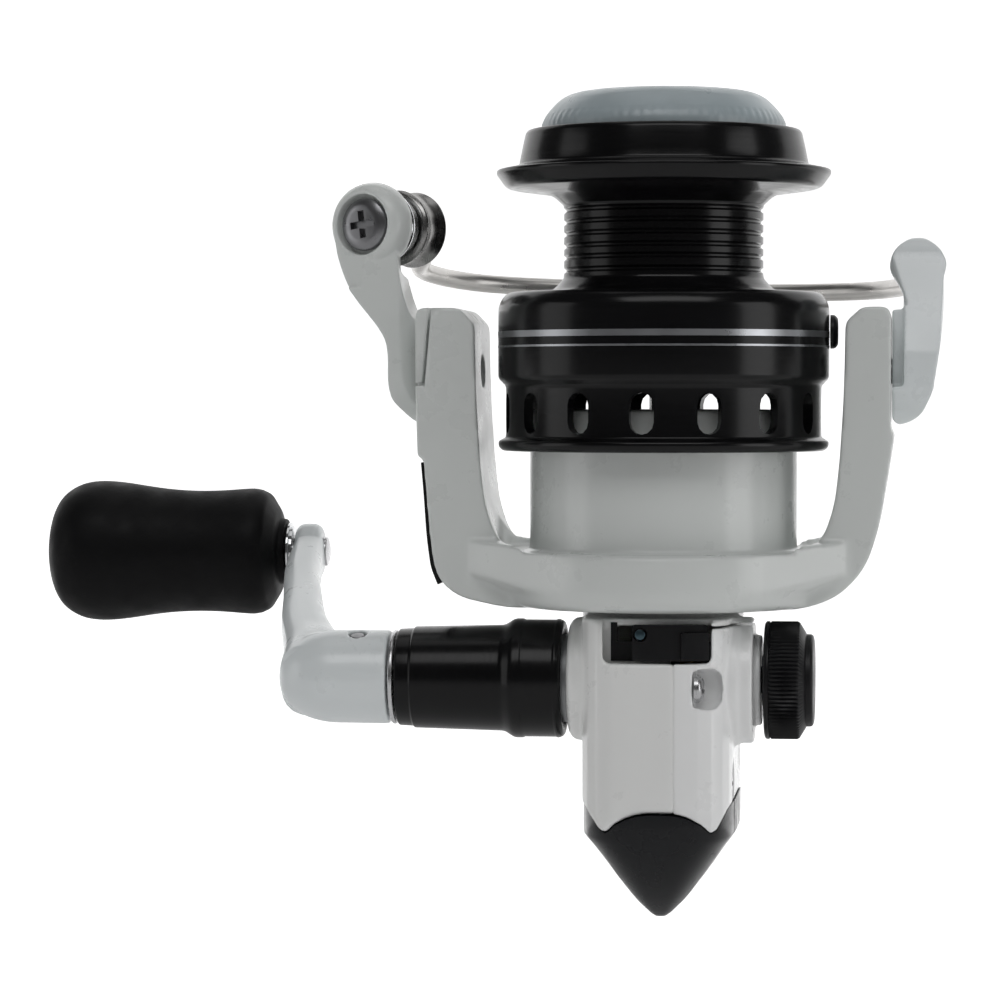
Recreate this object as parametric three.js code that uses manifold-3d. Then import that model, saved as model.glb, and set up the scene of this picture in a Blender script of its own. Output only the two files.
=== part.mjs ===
// Fixed-spool spinning reel, millimetres, +Z along the spool axis towards the rod tip, +Y towards the rod.
// Drawn about the spool axis, then shifted so that the centre of the rod-foot face is the origin.
import * as THREE from "three";
import { mergeVertices } from "three/addons/utils/BufferGeometryUtils.js";
import { ConvexGeometry } from "three/addons/geometries/ConvexGeometry.js";
import Module from "manifold-3d";

const wasm = await Module();
wasm.setup();

// ---------------------------------------------------------------- driving dimensions
const GAP = 0.3; // running clearance between neighbouring pieces
const SHAFT_TO_FOOT = 62; // spool axis to the face that lies on the rod
const DRIVE_Y = -6.5; // handle axis, offset from the spool axis, at Z = 0

const BODY_HALF_WIDTH = 10.5;
const BODY_FRONT_Y = -19;
const BODY_BACK_Y = 16.5;
const BODY_TOP_Z = 9;
const BODY_CORNER = 7;
const WALL = 1.6;
const COVER_SEAM_X = 2.6;
const NECK_RADIUS = 11.5;
const NECK_TOP_Z = 18.4;

const FOOT_LENGTH = 58;
const FOOT_WIDTH = 17;

const TAIL_TIP_Z = -33.5;
const TAIL_HALF_WIDTH = 10.8;

const ROTOR_BOTTOM_Z = 9.3;
const ROTOR_BASE_TOP_Z = 18;
const ROTOR_BASE_RADIUS = 23.2;
const DRUM_RADIUS = 19;
const DRUM_TOP_Z = 38;
const ARM_INNER_X = 25.8;
const ARM_TOP_Z = 52.4;
const ARM_HALF_WIDTH = 10;

const BAIL_PIVOT_Z = 43.4;
const ROLLER_DIRECTION = new THREE.Vector3(0.423, 0.906, -0.024).normalize();
const BULB_CENTRE = new THREE.Vector3(-41.4, -5, 64.2);
const BULB_RADIUS = 6.15;
const WIRE_RADIUS = 1.4;

const LIP_RADIUS = 23.8;
const SKIRT_RADIUS = 23.6;
const BAND_RADIUS = 22.45;
const ARBOR_RADIUS = 14.2;
const SKIRT_BORE = 20.9;
const SPOOL_BOTTOM_Z = 32.1;
const SPOOL_TOP_Z = 77.65;
const SLOT_COUNT = 15;
const SLOT_WIDTH = 3.4;
const SLOT_HEIGHT = 5.8;
const SLOT_CENTRE_Z = 37.45;

const SHAFT_RADIUS = 2;
const SHAFT_BOTTOM_Z = -4;
const SHAFT_TOP_Z = 80.5;
const CRANK_PIN_RADIUS = 6.75; // half of the spool stroke
const OSCILLATION_Y = 6;
const OSCILLATION_Z = -8.5;

const KNOB_Y = 42.6;
const KNOB_Z = 15.7;

// ---------------------------------------------------------------- helpers
function solid(geometry) {
  const loose = geometry.index ? geometry.toNonIndexed() : geometry;
  const bare = new THREE.BufferGeometry();
  bare.setAttribute("position", loose.getAttribute("position").clone());
  const merged = mergeVertices(bare, 1e-4);
  const index = merged.index.array;
  const kept = [];
  for (let i = 0; i < index.length; i += 3) {
    const [a, b, c] = [index[i], index[i + 1], index[i + 2]];
    if (a !== b && b !== c && c !== a) kept.push(a, b, c);
  }
  const build = (triangles) =>
    new wasm.Manifold(
      new wasm.Mesh({
        numProp: 3,
        vertProperties: merged.attributes.position.array,
        triVerts: new Uint32Array(triangles),
      }),
    );
  const made = build(kept);
  return made.volume() < 0 ? build(kept.reverse()) : made;
}

// Closed ring of points turned about Z; each point is [radius, z].
function turned(profile, segments = 32) {
  const points = profile.map(([r, z]) => new THREE.Vector2(r, z));
  const onAxis = profile[0][0] === 0 && profile[profile.length - 1][0] === 0;
  if (!onAxis) points.push(points[0].clone());
  return solid(new THREE.LatheGeometry(points, segments).rotateX(Math.PI / 2));
}

// The same, turned about an axis through `origin` along `direction`; each point is [radius, distance].
function turnedAlong(profile, origin, direction, segments = 24) {
  const points = profile.map(([r, z]) => new THREE.Vector2(r, z));
  const onAxis = profile[0][0] === 0 && profile[profile.length - 1][0] === 0;
  if (!onAxis) points.push(points[0].clone());
  const geometry = new THREE.LatheGeometry(points, segments);
  const turn = new THREE.Quaternion().setFromUnitVectors(new THREE.Vector3(0, 1, 0), direction);
  geometry.applyQuaternion(turn);
  geometry.translate(origin.x, origin.y, origin.z);
  return solid(geometry);
}

const X_AXIS = new THREE.Vector3(1, 0, 0);
const DRIVE_ORIGIN = new THREE.Vector3(0, DRIVE_Y, 0);

function aboutDrive(profile, segments = 32) {
  return turnedAlong(profile, DRIVE_ORIGIN, X_AXIS, segments);
}

function tube(inner, outer, from, to) {
  return [
    [inner, from],
    [outer, from],
    [outer, to],
    [inner, to],
  ];
}

function rod(radius, from, to) {
  return [
    [0, from],
    [radius, from],
    [radius, to],
    [0, to],
  ];
}

// Outline with its corners rounded; a corner is [x, y] or [x, y, its own radius].
function rounded(corners, radius = 0, steps = 3) {
  const out = [];
  corners.forEach((corner, i) => {
    const before = corners[(i + corners.length - 1) % corners.length];
    const after = corners[(i + 1) % corners.length];
    const own = corner.length > 2 ? corner[2] : radius;
    const here = new THREE.Vector2(corner[0], corner[1]);
    if (own <= 0) {
      out.push(here);
      return;
    }
    const toBefore = new THREE.Vector2(before[0], before[1]).sub(here);
    const toAfter = new THREE.Vector2(after[0], after[1]).sub(here);
    const reach = Math.min(own, 0.49 * toBefore.length(), 0.49 * toAfter.length());
    const start = here.clone().addScaledVector(toBefore.normalize(), reach);
    const end = here.clone().addScaledVector(toAfter.normalize(), reach);
    for (let k = 0; k <= steps; k++) {
      const t = k / steps;
      const p = start.clone().multiplyScalar((1 - t) * (1 - t));
      p.addScaledVector(here, 2 * t * (1 - t)).addScaledVector(end, t * t);
      out.push(p);
    }
  });
  return out;
}

function extruded(outline, from, to, bevel, basis) {
  const geometry = new THREE.ExtrudeGeometry(new THREE.Shape(outline), {
    depth: to - from - 2 * bevel,
    curveSegments: 6,
    bevelEnabled: bevel > 0,
    bevelThickness: bevel,
    bevelSize: bevel,
    bevelOffset: -bevel,
    bevelSegments: 2,
  });
  geometry.translate(0, 0, from + bevel);
  if (basis) geometry.applyMatrix4(basis);
  return solid(geometry);
}

const ALONG_X = new THREE.Matrix4().makeBasis(
  new THREE.Vector3(0, 1, 0),
  new THREE.Vector3(0, 0, 1),
  new THREE.Vector3(1, 0, 0),
);
const ALONG_Y = new THREE.Matrix4().makeBasis(
  new THREE.Vector3(1, 0, 0),
  new THREE.Vector3(0, 0, 1),
  new THREE.Vector3(0, -1, 0),
);

// Outline in (X, Y) raised along Z, in (Y, Z) along X, and in (X, Z) along Y.
const alongZ = (outline, z0, z1, bevel = 0) => extruded(outline, z0, z1, bevel);
const alongX = (outline, x0, x1, bevel = 0) => extruded(outline, x0, x1, bevel, ALONG_X);
const alongY = (outline, y0, y1, bevel = 0) => extruded(outline, -y1, -y0, bevel, ALONG_Y);

function box(x0, x1, y0, y1, z0, z1) {
  const geometry = new THREE.BoxGeometry(x1 - x0, y1 - y0, z1 - z0);
  return solid(geometry.translate((x0 + x1) / 2, (y0 + y1) / 2, (z0 + z1) / 2));
}

function rectangle(x0, x1, y0, y1) {
  return [
    [x0, y0],
    [x1, y0],
    [x1, y1],
    [x0, y1],
  ];
}

function circle(cx, cy, radius, count = 16) {
  return Array.from({ length: count }, (_, i) => {
    const a = (2 * Math.PI * i) / count;
    return new THREE.Vector2(cx + radius * Math.cos(a), cy + radius * Math.sin(a));
  });
}

function toothed(cx, cy, root, tip, teeth) {
  const out = [];
  for (let i = 0; i < teeth; i++) {
    for (const [share, radius] of [
      [0, root],
      [0.3, root],
      [0.45, tip],
      [0.85, tip],
    ]) {
      const a = (2 * Math.PI * (i + share)) / teeth;
      out.push(new THREE.Vector2(cx + radius * Math.cos(a), cy + radius * Math.sin(a)));
    }
  }
  return out;
}

// Arc-shaped strip between two radii, from one bearing to another in degrees.
function sector(inner, outer, from, to, steps = 6) {
  const out = [];
  for (let k = 0; k <= steps; k++) {
    const a = THREE.MathUtils.degToRad(from + ((to - from) * k) / steps);
    out.push(new THREE.Vector2(outer * Math.cos(a), outer * Math.sin(a)));
  }
  for (let k = steps; k >= 0; k--) {
    const a = THREE.MathUtils.degToRad(from + ((to - from) * k) / steps);
    out.push(new THREE.Vector2(inner * Math.cos(a), inner * Math.sin(a)));
  }
  return out;
}

// Convex body round two or more point clouds.
function wrapped(...clouds) {
  return solid(new ConvexGeometry(clouds.flat()));
}

function discPoints(centre, direction, radius, halfThickness, count = 16) {
  const side = new THREE.Vector3(0, 0, 1).cross(direction).normalize();
  const up = direction.clone().cross(side).normalize();
  const out = [];
  for (const end of [-halfThickness, halfThickness]) {
    for (let i = 0; i < count; i++) {
      const a = (2 * Math.PI * i) / count;
      const p = centre.clone().addScaledVector(direction, end);
      p.addScaledVector(side, radius * Math.cos(a)).addScaledVector(up, radius * Math.sin(a));
      out.push(p);
    }
  }
  return out;
}

function union(first, ...rest) {
  return rest.reduce((whole, next) => whole.add(next), first);
}

function cut(first, ...rest) {
  return rest.reduce((whole, next) => whole.subtract(next), first);
}

// ---------------------------------------------------------------- the group of named pieces
const group = new THREE.Group();
group.name = "spinning_reel";
const reel = new THREE.Group();
reel.position.y = -SHAFT_TO_FOOT;
group.add(reel);

const PAINT = { color: 0xe4e6e9, roughness: 0.35 };
const BLACK = { color: 0x111214, roughness: 0.25 };
const RUBBER = { color: 0x1a1b1d, roughness: 0.8 };
const STEEL = { color: 0xb4b7bb, metalness: 1, roughness: 0.3 };
const BRASS = { color: 0xb58d45, metalness: 1, roughness: 0.4 };
const FELT = { color: 0x5b5a55, roughness: 0.95 };
const GREY_PLASTIC = { color: 0xa9b4bf, roughness: 0.4 };
const ZINC = { color: 0x8f9296, metalness: 1, roughness: 0.5 };

function piece(name, body, look) {
  // A boolean can leave an empty sliver beside the real body, so only the largest body is kept.
  const [main] = body.decompose().sort((a, b) => b.volume() - a.volume());
  const data = main.getMesh();
  const stride = data.numProp;
  const count = data.vertProperties.length / stride;
  const positions = new Float32Array(count * 3);
  for (let i = 0; i < count; i++) {
    positions.set(data.vertProperties.subarray(i * stride, i * stride + 3), i * 3);
  }
  const geometry = new THREE.BufferGeometry();
  geometry.setAttribute("position", new THREE.BufferAttribute(positions, 3));
  geometry.setIndex(new THREE.BufferAttribute(new Uint32Array(data.triVerts), 1));
  const mesh = new THREE.Mesh(geometry, new THREE.MeshStandardMaterial(look));
  mesh.name = name;
  reel.add(mesh);
}

// ---------------------------------------------------------------- gear case, side cover and tail cap
const BODY_BOTTOM_Z = -30;
const bodyPlan = rounded(
  [
    [-BODY_HALF_WIDTH, BODY_FRONT_Y, BODY_CORNER],
    [BODY_HALF_WIDTH, BODY_FRONT_Y, BODY_CORNER],
    [BODY_HALF_WIDTH, BODY_BACK_Y, 5],
    [-BODY_HALF_WIDTH, BODY_BACK_Y, 5],
  ],
  0,
  4,
);
const bodySide = rounded(
  [
    [BODY_FRONT_Y, BODY_TOP_Z, 2.5],
    [BODY_FRONT_Y, -20, 6],
    [-14, BODY_BOTTOM_Z, 3],
    [8, BODY_BOTTOM_Z, 3],
    [BODY_BACK_Y, -16, 5],
    [BODY_BACK_Y, BODY_TOP_Z, 2],
  ],
  0,
  3,
);
const caseBlock = alongZ(bodyPlan, BODY_BOTTOM_Z, BODY_TOP_Z).intersect(
  alongX(bodySide, -BODY_HALF_WIDTH - 1, BODY_HALF_WIDTH + 1),
);
const tailFront = rounded(
  [
    [-TAIL_HALF_WIDTH, -15.5],
    [-TAIL_HALF_WIDTH, -21.8, 0.6],
    [-8.1, -24.6],
    [-5.8, -27.8],
    [-4, -30.3],
    [-2.1, -32.3],
    [-0.6, TAIL_TIP_Z, 0.5],
    [1.1, TAIL_TIP_Z, 0.5],
    [2.5, -32.3],
    [4.3, -30.3],
    [6.1, -27.8],
    [8.4, -24.6],
    [TAIL_HALF_WIDTH, -21.8, 0.6],
    [TAIL_HALF_WIDTH, -15.5],
  ],
  0,
  2,
);
const tailSide = rounded(
  [
    [BODY_FRONT_Y - 0.2, -15.5],
    [BODY_FRONT_Y - 0.2, -21.8, 3],
    [-16, -27.3, 4],
    [-9, TAIL_TIP_Z, 4],
    [1, TAIL_TIP_Z, 4],
    [10, -27.3, 5],
    [14.5, -21.3, 3],
    [14.5, -15.5],
  ],
  0,
  3,
);
const tailPlan = rounded(rectangle(-TAIL_HALF_WIDTH, TAIL_HALF_WIDTH, BODY_FRONT_Y - 0.2, 14.5), 7, 4);
const tailBlock = alongY(tailFront, -25, 25)
  .intersect(alongX(tailSide, -15, 15))
  .intersect(alongZ(tailPlan, -40, -10));

// Scalloped edge where the tail cap meets the case: two cusps on the face, rising to the sides.
function tailRegion(shift) {
  const edge = [
    [-14, -16.7],
    [-10.2, -16.7],
    [-9.2, -17.9],
    [-6.8, -20.5],
    [-5.6, -19.4],
    [-3.9, -18.5],
    [-1.2, -17.9],
    [2.4, -17.9],
    [5, -18.5],
    [6.7, -19.4],
    [7.9, -20.5],
    [9.8, -17.9],
    [10.4, -16.7],
    [14, -16.7],
  ].map(([x, z]) => new THREE.Vector2(x, z + shift));
  return alongY([...edge, new THREE.Vector2(14, -50), new THREE.Vector2(-14, -50)], -30, 30);
}

const cavity = alongZ(
  rounded(
    rectangle(
      -BODY_HALF_WIDTH + WALL,
      BODY_HALF_WIDTH - WALL,
      BODY_FRONT_Y + WALL + 0.6,
      BODY_BACK_Y - 1.1,
    ),
    2.5,
    3,
  ),
  -18.2,
  8,
);
const leftBoss = aboutDrive([
  [0, -12.7],
  [7.9, -12.7],
  [8.75, -12],
  [8.75, -9.6],
  [0, -9.6],
]);
const rightBoss = aboutDrive([
  [0, 9.6],
  [9.25, 9.6],
  [9.25, 11.3],
  [8.9, 11.5],
  [8.9, 13.1],
  [8.7, 13.4],
  [6.4, 13.4],
  [6.4, 14.5],
  [0, 14.5],
]);
const neck = turned(rod(NECK_RADIUS, 8.4, NECK_TOP_Z), 40);
const stem = alongX(
  rounded(
    [
      [13, 8],
      [13, -15],
      [20, -13.5],
      [34, -7.5, 8],
      [52, -11, 5],
      [59, -17],
      [59, 17],
      [54, 12, 5],
      [36, 7.5, 8],
      [20, 7.8],
    ],
    0,
    3,
  ),
  -3.6,
  3.6,
  1.2,
);
const footFace = rounded(
  [
    [-4.8, -FOOT_LENGTH / 2, 3],
    [4.8, -FOOT_LENGTH / 2, 3],
    [FOOT_WIDTH / 2, -13, 8],
    [FOOT_WIDTH / 2, 13, 8],
    [4.8, FOOT_LENGTH / 2, 3],
    [-4.8, FOOT_LENGTH / 2, 3],
    [-FOOT_WIDTH / 2, 13, 8],
    [-FOOT_WIDTH / 2, -13, 8],
  ],
  0,
  3,
);
const footSide = [
  [SHAFT_TO_FOOT, -30],
  [SHAFT_TO_FOOT, 30],
  [SHAFT_TO_FOOT - 1.4, 30],
  [SHAFT_TO_FOOT - 2.2, 20],
  [SHAFT_TO_FOOT - 4.2, 9],
  [SHAFT_TO_FOOT - 4.2, -9],
  [SHAFT_TO_FOOT - 2.2, -20],
  [SHAFT_TO_FOOT - 1.4, -30],
].map(([y, z]) => new THREE.Vector2(y, z));
const foot = alongY(footFace, SHAFT_TO_FOOT - 8, SHAFT_TO_FOOT).intersect(alongX(footSide, -20, 20));

const bearingSeats = union(
  turned(rod(9.7, 13.3, 30), 32),
  turned(rod(7.3, 9.3, 13.4), 32),
  turned(rod(3.6, 5, 9.4), 24),
  aboutDrive(rod(6.5, -20, -8)),
  aboutDrive(rod(6.5, 8, 12.5)),
  aboutDrive(rod(3.2, 12, 20)),
);
const leverWindow = alongY(
  rounded(
    [
      [-7.2, 2.9, 1.2],
      [7.9, 2.9, 1.2],
      [7.9, 12],
      [-7.2, 12],
    ],
    0,
    3,
  ),
  -30,
  -15.2,
);
// Low wall behind the window, so that the gears stay covered below the lever's arm.
const screen = box(-9.2, COVER_SEAM_X - 0.4, -15.1, -14.3, -1, 5.6);
// Fixing screws of the side cover: [y, z, where the head sits along X].
const COVER_SCREWS = [
  [-17, -0.5, 5.5],
  [12.6, 5.2, 9],
  [-8.5, -14.2, 9],
];
const [FRONT_SCREW, REAR_SCREW, LOW_SCREW] = COVER_SCREWS;
const screwPillars = [
  alongX(circle(FRONT_SCREW[0], FRONT_SCREW[1], 3.6, 20), 4.2, 9.2)
    .intersect(caseBlock)
    .intersect(box(0, 20, -30, -14.3, -20, 20)),
  ...[REAR_SCREW, LOW_SCREW].map(([y, z]) => alongX(circle(y, z, 2.6), -9.5, 9.6).intersect(caseBlock)),
];
const screwHoles = [
  alongX(circle(FRONT_SCREW[0], FRONT_SCREW[1], 3, 24), FRONT_SCREW[2] - 0.2, 20).intersect(
    box(0, 20, -30, -14.8, -20, 20),
  ),
  alongX(circle(REAR_SCREW[0], REAR_SCREW[1], 2.85, 20), REAR_SCREW[2] - 0.2, 20),
  alongX(circle(LOW_SCREW[0], LOW_SCREW[1], 2.85, 20), LOW_SCREW[2] - 0.2, 20),
  ...COVER_SCREWS.map(([y, z]) => alongX(circle(y, z, 1.3), -3.5, 14)),
];

// Curved channel in the roof, for the collar of the anti-reverse lever.
const collarChannel = alongZ(sector(NECK_RADIUS + 0.1, 13.3, -126, -70), 6, 10);
const caseShell = cut(
  union(caseBlock.subtract(tailRegion(0.15)), leftBoss, rightBoss),
  cavity,
  collarChannel,
);
const filledCase = union(caseShell, ...screwPillars);
const coverBlock = box(COVER_SEAM_X + 0.15, 20, -30, 14.2, -30, BODY_TOP_Z - 1.2);
const coverOpening = box(COVER_SEAM_X - 0.15, 20, -30, 14.5, -30, BODY_TOP_Z - 0.9);
const cutters = [bearingSeats, leverWindow, ...screwHoles];
piece(
  "housing",
  cut(
    union(filledCase.subtract(coverOpening), screen, neck, stem.subtract(cavity), foot),
    ...cutters,
  ),
  PAINT,
);
piece("side_cover", cut(filledCase.intersect(coverBlock), ...cutters), PAINT);
piece(
  "tail_cap",
  tailBlock.intersect(tailRegion(-0.15)).subtract(
    alongZ(rounded(rectangle(-7.5, 7.5, -15.5, 10.5), 3), -23.3, -10),
  ),
  { color: 0x1d1f22, roughness: 0.2 },
);
COVER_SCREWS.forEach(([y, z, headX], i) => {
  const origin = new THREE.Vector3(0, y, z);
  const shank = turnedAlong(rod(1, -2.8, headX + 0.2), origin, X_AXIS, 12);
  const headRadius = i ? 2.5 : 2;
  const head = turnedAlong(
    [
      [0, headX],
      [headRadius, headX],
      [headRadius, headX + 0.7],
      [headRadius - 0.7, headX + 1.5],
      [0, headX + 1.5],
    ],
    origin,
    X_AXIS,
    20,
  );
  const cross = union(
    box(headX + 0.7, headX + 3, y - 0.3, y + 0.3, z - 1.3, z + 1.3),
    box(headX + 0.7, headX + 3, y - 1.3, y + 1.3, z - 0.3, z + 0.3),
  );
  piece(["cover_screw_front", "cover_screw_rear", "cover_screw_low"][i], shank.add(head).subtract(cross), STEEL);
});

// ---------------------------------------------------------------- bearings and clutch fixed in the case
piece("bearing_pinion", turned(tube(3.5, 7, 9.6, 13), 24), STEEL);
piece("one_way_clutch", turned(tube(4.2, 9.4, 13.6, 18), 28), ZINC);
piece("bearing_left", aboutDrive(tube(3.4, 6.2, -12.2, -9), 24), STEEL);
piece("bearing_right", aboutDrive(tube(3.4, 6.2, 9, 12.2), 24), STEEL);
piece(
  "guide_rod",
  turned(rod(0.9, -17.9, 7.1), 12).translate([-0.6, 7.2, 0]),
  STEEL,
);

// ---------------------------------------------------------------- anti-reverse lever in its window
piece(
  "anti_reverse_lever",
  union(
    alongZ(sector(17.2, 18.6, -99.5, -66.4), 3.3, 8.4),
    alongZ(sector(12.3, 17.6, -98, -84), 6.1, 7.3),
    alongZ(sector(11.9, 12.8, -106, -76), 6.1, 8.8),
    alongZ(sector(18.2, 19.2, -74, -66.4), 3.3, 7.4),
  ).subtract(turnedAlong(rod(1, 15, 25), new THREE.Vector3(-1.9, 0, 7), new THREE.Vector3(0, -1, 0), 12)),
  BLACK,
);
piece(
  "lever_pin",
  turnedAlong(rod(0.7, 17.6, 18.9), new THREE.Vector3(-1.9, 0, 7), new THREE.Vector3(0, -1, 0), 12),
  STEEL,
);

// ---------------------------------------------------------------- rotor
const armRight = rounded(
  [
    [0, ROTOR_BOTTOM_Z],
    [20.6, ROTOR_BOTTOM_Z + 0.4],
    [25.2, 11.8],
    [28.9, 15.9],
    [30.7, 21.3],
    [32.1, 29.6],
    [32.9, 34.6],
    [32.35, 35.1],
    [32.35, 51.7],
    [31.8, ARM_TOP_Z],
    [28.3, ARM_TOP_Z],
    [ARM_INNER_X + 0.2, 50.4],
    [ARM_INNER_X, 40],
    [25.2, 30.5],
    [24.5, 24.5, 2],
    [23.2, 20.4, 2],
    [20.5, ROTOR_BASE_TOP_Z],
    [0, ROTOR_BASE_TOP_Z],
  ],
  0,
  3,
);
const armLeft = rounded(
  [
    [0, ROTOR_BOTTOM_Z],
    [-22, ROTOR_BOTTOM_Z + 0.5],
    [-28, 11.2],
    [-30.6, 13.4],
    [-31.7, 16],
    [-32.3, 20],
    [-32.8, 26],
    [-33.2, 31],
    [-34.1, 31.5],
    [-34.4, 38],
    [-34.4, 51.6],
    [-33.8, ARM_TOP_Z],
    [-28.2, ARM_TOP_Z],
    [-ARM_INNER_X - 0.2, 50.2],
    [-ARM_INNER_X, 40],
    [-25.2, 30.5],
    [-24.5, 24.5, 2],
    [-23.2, 20.4, 2],
    [-20.5, ROTOR_BASE_TOP_Z],
    [0, ROTOR_BASE_TOP_Z],
  ],
  0,
  3,
);
const rotorBase = turned(
  [
    [0, ROTOR_BOTTOM_Z],
    [20.4, ROTOR_BOTTOM_Z],
    [22.4, ROTOR_BOTTOM_Z + 0.7],
    [ROTOR_BASE_RADIUS, ROTOR_BOTTOM_Z + 2.6],
    [ROTOR_BASE_RADIUS, ROTOR_BASE_TOP_Z],
    [DRUM_RADIUS, ROTOR_BASE_TOP_Z],
    [DRUM_RADIUS, DRUM_TOP_Z],
    [0, DRUM_TOP_Z],
  ],
  36,
);
const pivotHole = alongX(circle(0, BAIL_PIVOT_Z, 2.2), -50, 50);
piece(
  "rotor",
  cut(
    union(
      rotorBase,
      alongY(armRight, -ARM_HALF_WIDTH, ARM_HALF_WIDTH, 0.9),
      alongY(armLeft, -ARM_HALF_WIDTH, ARM_HALF_WIDTH, 0.9),
    ),
    turned(rod(17.4, 21, 50), 40),
    turned(tube(DRUM_RADIUS, 24, ROTOR_BASE_TOP_Z, 60), 48),
    turned(rod(13, 0, 19.2), 32),
    turned(rod(3.6, 0, 30), 24),
    pivotHole.intersect(union(box(-50, -25, -9, 9, 30, 60), box(25, 50, -9, 9, 30, 60))),
  ),
  PAINT,
);
const coverLeft = [
  [-33.35, 30.6],
  [-32.95, 26],
  [-32.5, 20],
  [-31.9, 15.9],
  [-30.9, 13.4],
  [-31.6, 13.1],
  [-32.6, 15.6],
  [-33.2, 20],
  [-33.6, 26],
  [-34, 30.6],
].map(([x, z]) => new THREE.Vector2(x, z));
piece("arm_cover", alongY(coverLeft, -7, 7, 0.15), BLACK);
piece(
  "pinion",
  union(
    turned(tube(2.3, 2.75, 1.2, 9.2), 24),
    alongZ(toothed(0, 0, 2.6, 3.05, 9), 1.6, 6.4).subtract(turned(rod(2.5, 0, 20), 24)),
    turned(tube(2.3, 3.2, 9, 26), 24),
  ),
  BRASS,
);
piece(
  "rotor_nut",
  alongZ(circle(0, 0, 6.2, 6), 21.3, 24.6).subtract(turned(rod(3.5, 0, 40), 24)),
  STEEL,
);

// ---------------------------------------------------------------- bail
const pivotLeft = new THREE.Vector3(-36.7, 0, BAIL_PIVOT_Z);
const rollerAxis = (profile, segments = 24) =>
  turnedAlong(profile, BULB_CENTRE, ROLLER_DIRECTION, segments);
const bulb = rollerAxis(
  [
    [0, -2.4],
    [4.9, -2.4],
    [5.7, -1.5],
    [BULB_RADIUS, 0],
    [BULB_RADIUS, 1.4],
    [5.6, 2.3],
    [0, 2.3],
  ],
  28,
);
// Slender neck, waisted above the pivot where it swings out to the roller's bulb.
const neckFront = [
  [-38.5, 41],
  [-38.5, 46],
  [-38.9, 47.6],
  [-39.8, 49.3],
  [-41.1, 51],
  [-42.6, 52.8],
  [-44.2, 55],
  [-45.2, 57.5],
  [-45.6, 60],
  [-38.4, 60],
  [-37.4, 57.4],
  [-36.6, 54.4],
  [-35.9, 52.4],
  [-35.3, 50.4],
  [-34.9, 47],
  [-34.9, 41],
].map(([x, z]) => new THREE.Vector2(x, z));
const armNeck = wrapped(
  discPoints(new THREE.Vector3(-40, 0, BAIL_PIVOT_Z), X_AXIS, 6.4, 8, 20),
  discPoints(new THREE.Vector3(-40, -4.6, 61), X_AXIS, 4.6, 8, 20),
).intersect(alongY(neckFront, -20, 20));
const rootLeft = turnedAlong(
  [
    [0, -1.9],
    [6, -1.9],
    [7, -1],
    [7, 1.9],
    [0, 1.9],
  ],
  pivotLeft,
  X_AXIS,
  28,
);
piece(
  "bail_arm_left",
  cut(
    union(bulb, armNeck, rootLeft),
    rollerAxis(rod(2.2, -10, 20), 16),
    rollerAxis(rod(4.3, -10, -0.9), 24),
    rollerAxis(rod(7.2, 2.31, 20), 24),
    alongX(circle(0, BAIL_PIVOT_Z, 2.2), -50, 0),
    alongX(circle(0, BAIL_PIVOT_Z, 3.9, 20), -50, -37.3),
  ),
  PAINT,
);
piece(
  "roller_screw",
  rollerAxis(
    [
      [0, -2.3],
      [2.9, -2.3],
      [3.8, -1.8],
      [3.8, -1.2],
      [1.7, -1.2],
      [1.7, 12.2],
      [0, 12.2],
    ],
    20,
  ).subtract(
    wrapped(
      discPoints(
        BULB_CENTRE.clone().addScaledVector(ROLLER_DIRECTION, -2.3),
        ROLLER_DIRECTION,
        0.9,
        0.6,
        4,
      ),
    ),
  ),
  STEEL,
);
piece(
  "roller_washer",
  rollerAxis([
    [2, 2.6],
    [5, 2.6],
    [5.4, 3.2],
    [4.6, 5.9],
    [2, 5.9],
  ]),
  STEEL,
);
piece(
  "line_roller",
  rollerAxis(
    [
      [2, 6.2],
      [5.1, 6.2],
      [5.6, 6.8],
      [4.7, 8.3],
      [4.7, 9.8],
      [5.6, 11.4],
      [5.1, 12],
      [2, 12],
    ],
    28,
  ),
  STEEL,
);
const wireStart = BULB_CENTRE.clone().addScaledVector(ROLLER_DIRECTION, 14.2);
const wirePath = new THREE.CatmullRomCurve3([
  wireStart,
  new THREE.Vector3(-35, 11.6, 62.6),
  new THREE.Vector3(-36.8, 16.5, 60.4),
  new THREE.Vector3(-37.6, 25, 58.6),
  new THREE.Vector3(-30.4, 36.5, 57.2),
  new THREE.Vector3(-15, 44, 56.5),
  new THREE.Vector3(0, 46.5, 56),
  new THREE.Vector3(15, 44, 55.8),
  new THREE.Vector3(29, 34.5, 55.8),
  new THREE.Vector3(36, 20, 56.4),
  new THREE.Vector3(36.8, 9, 57.2),
]);
const wire = solid(
  new THREE.ExtrudeGeometry(new THREE.Shape(circle(0, 0, WIRE_RADIUS, 10)), {
    steps: 36,
    extrudePath: wirePath,
    bevelEnabled: false,
  }),
);
const wireCone = rollerAxis([
  [0, 12.5],
  [4.4, 12.5],
  [4.4, 13.2],
  [1.5, 16],
  [0, 16],
]);
piece("bail_wire", wire.add(wireCone), STEEL);

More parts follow.
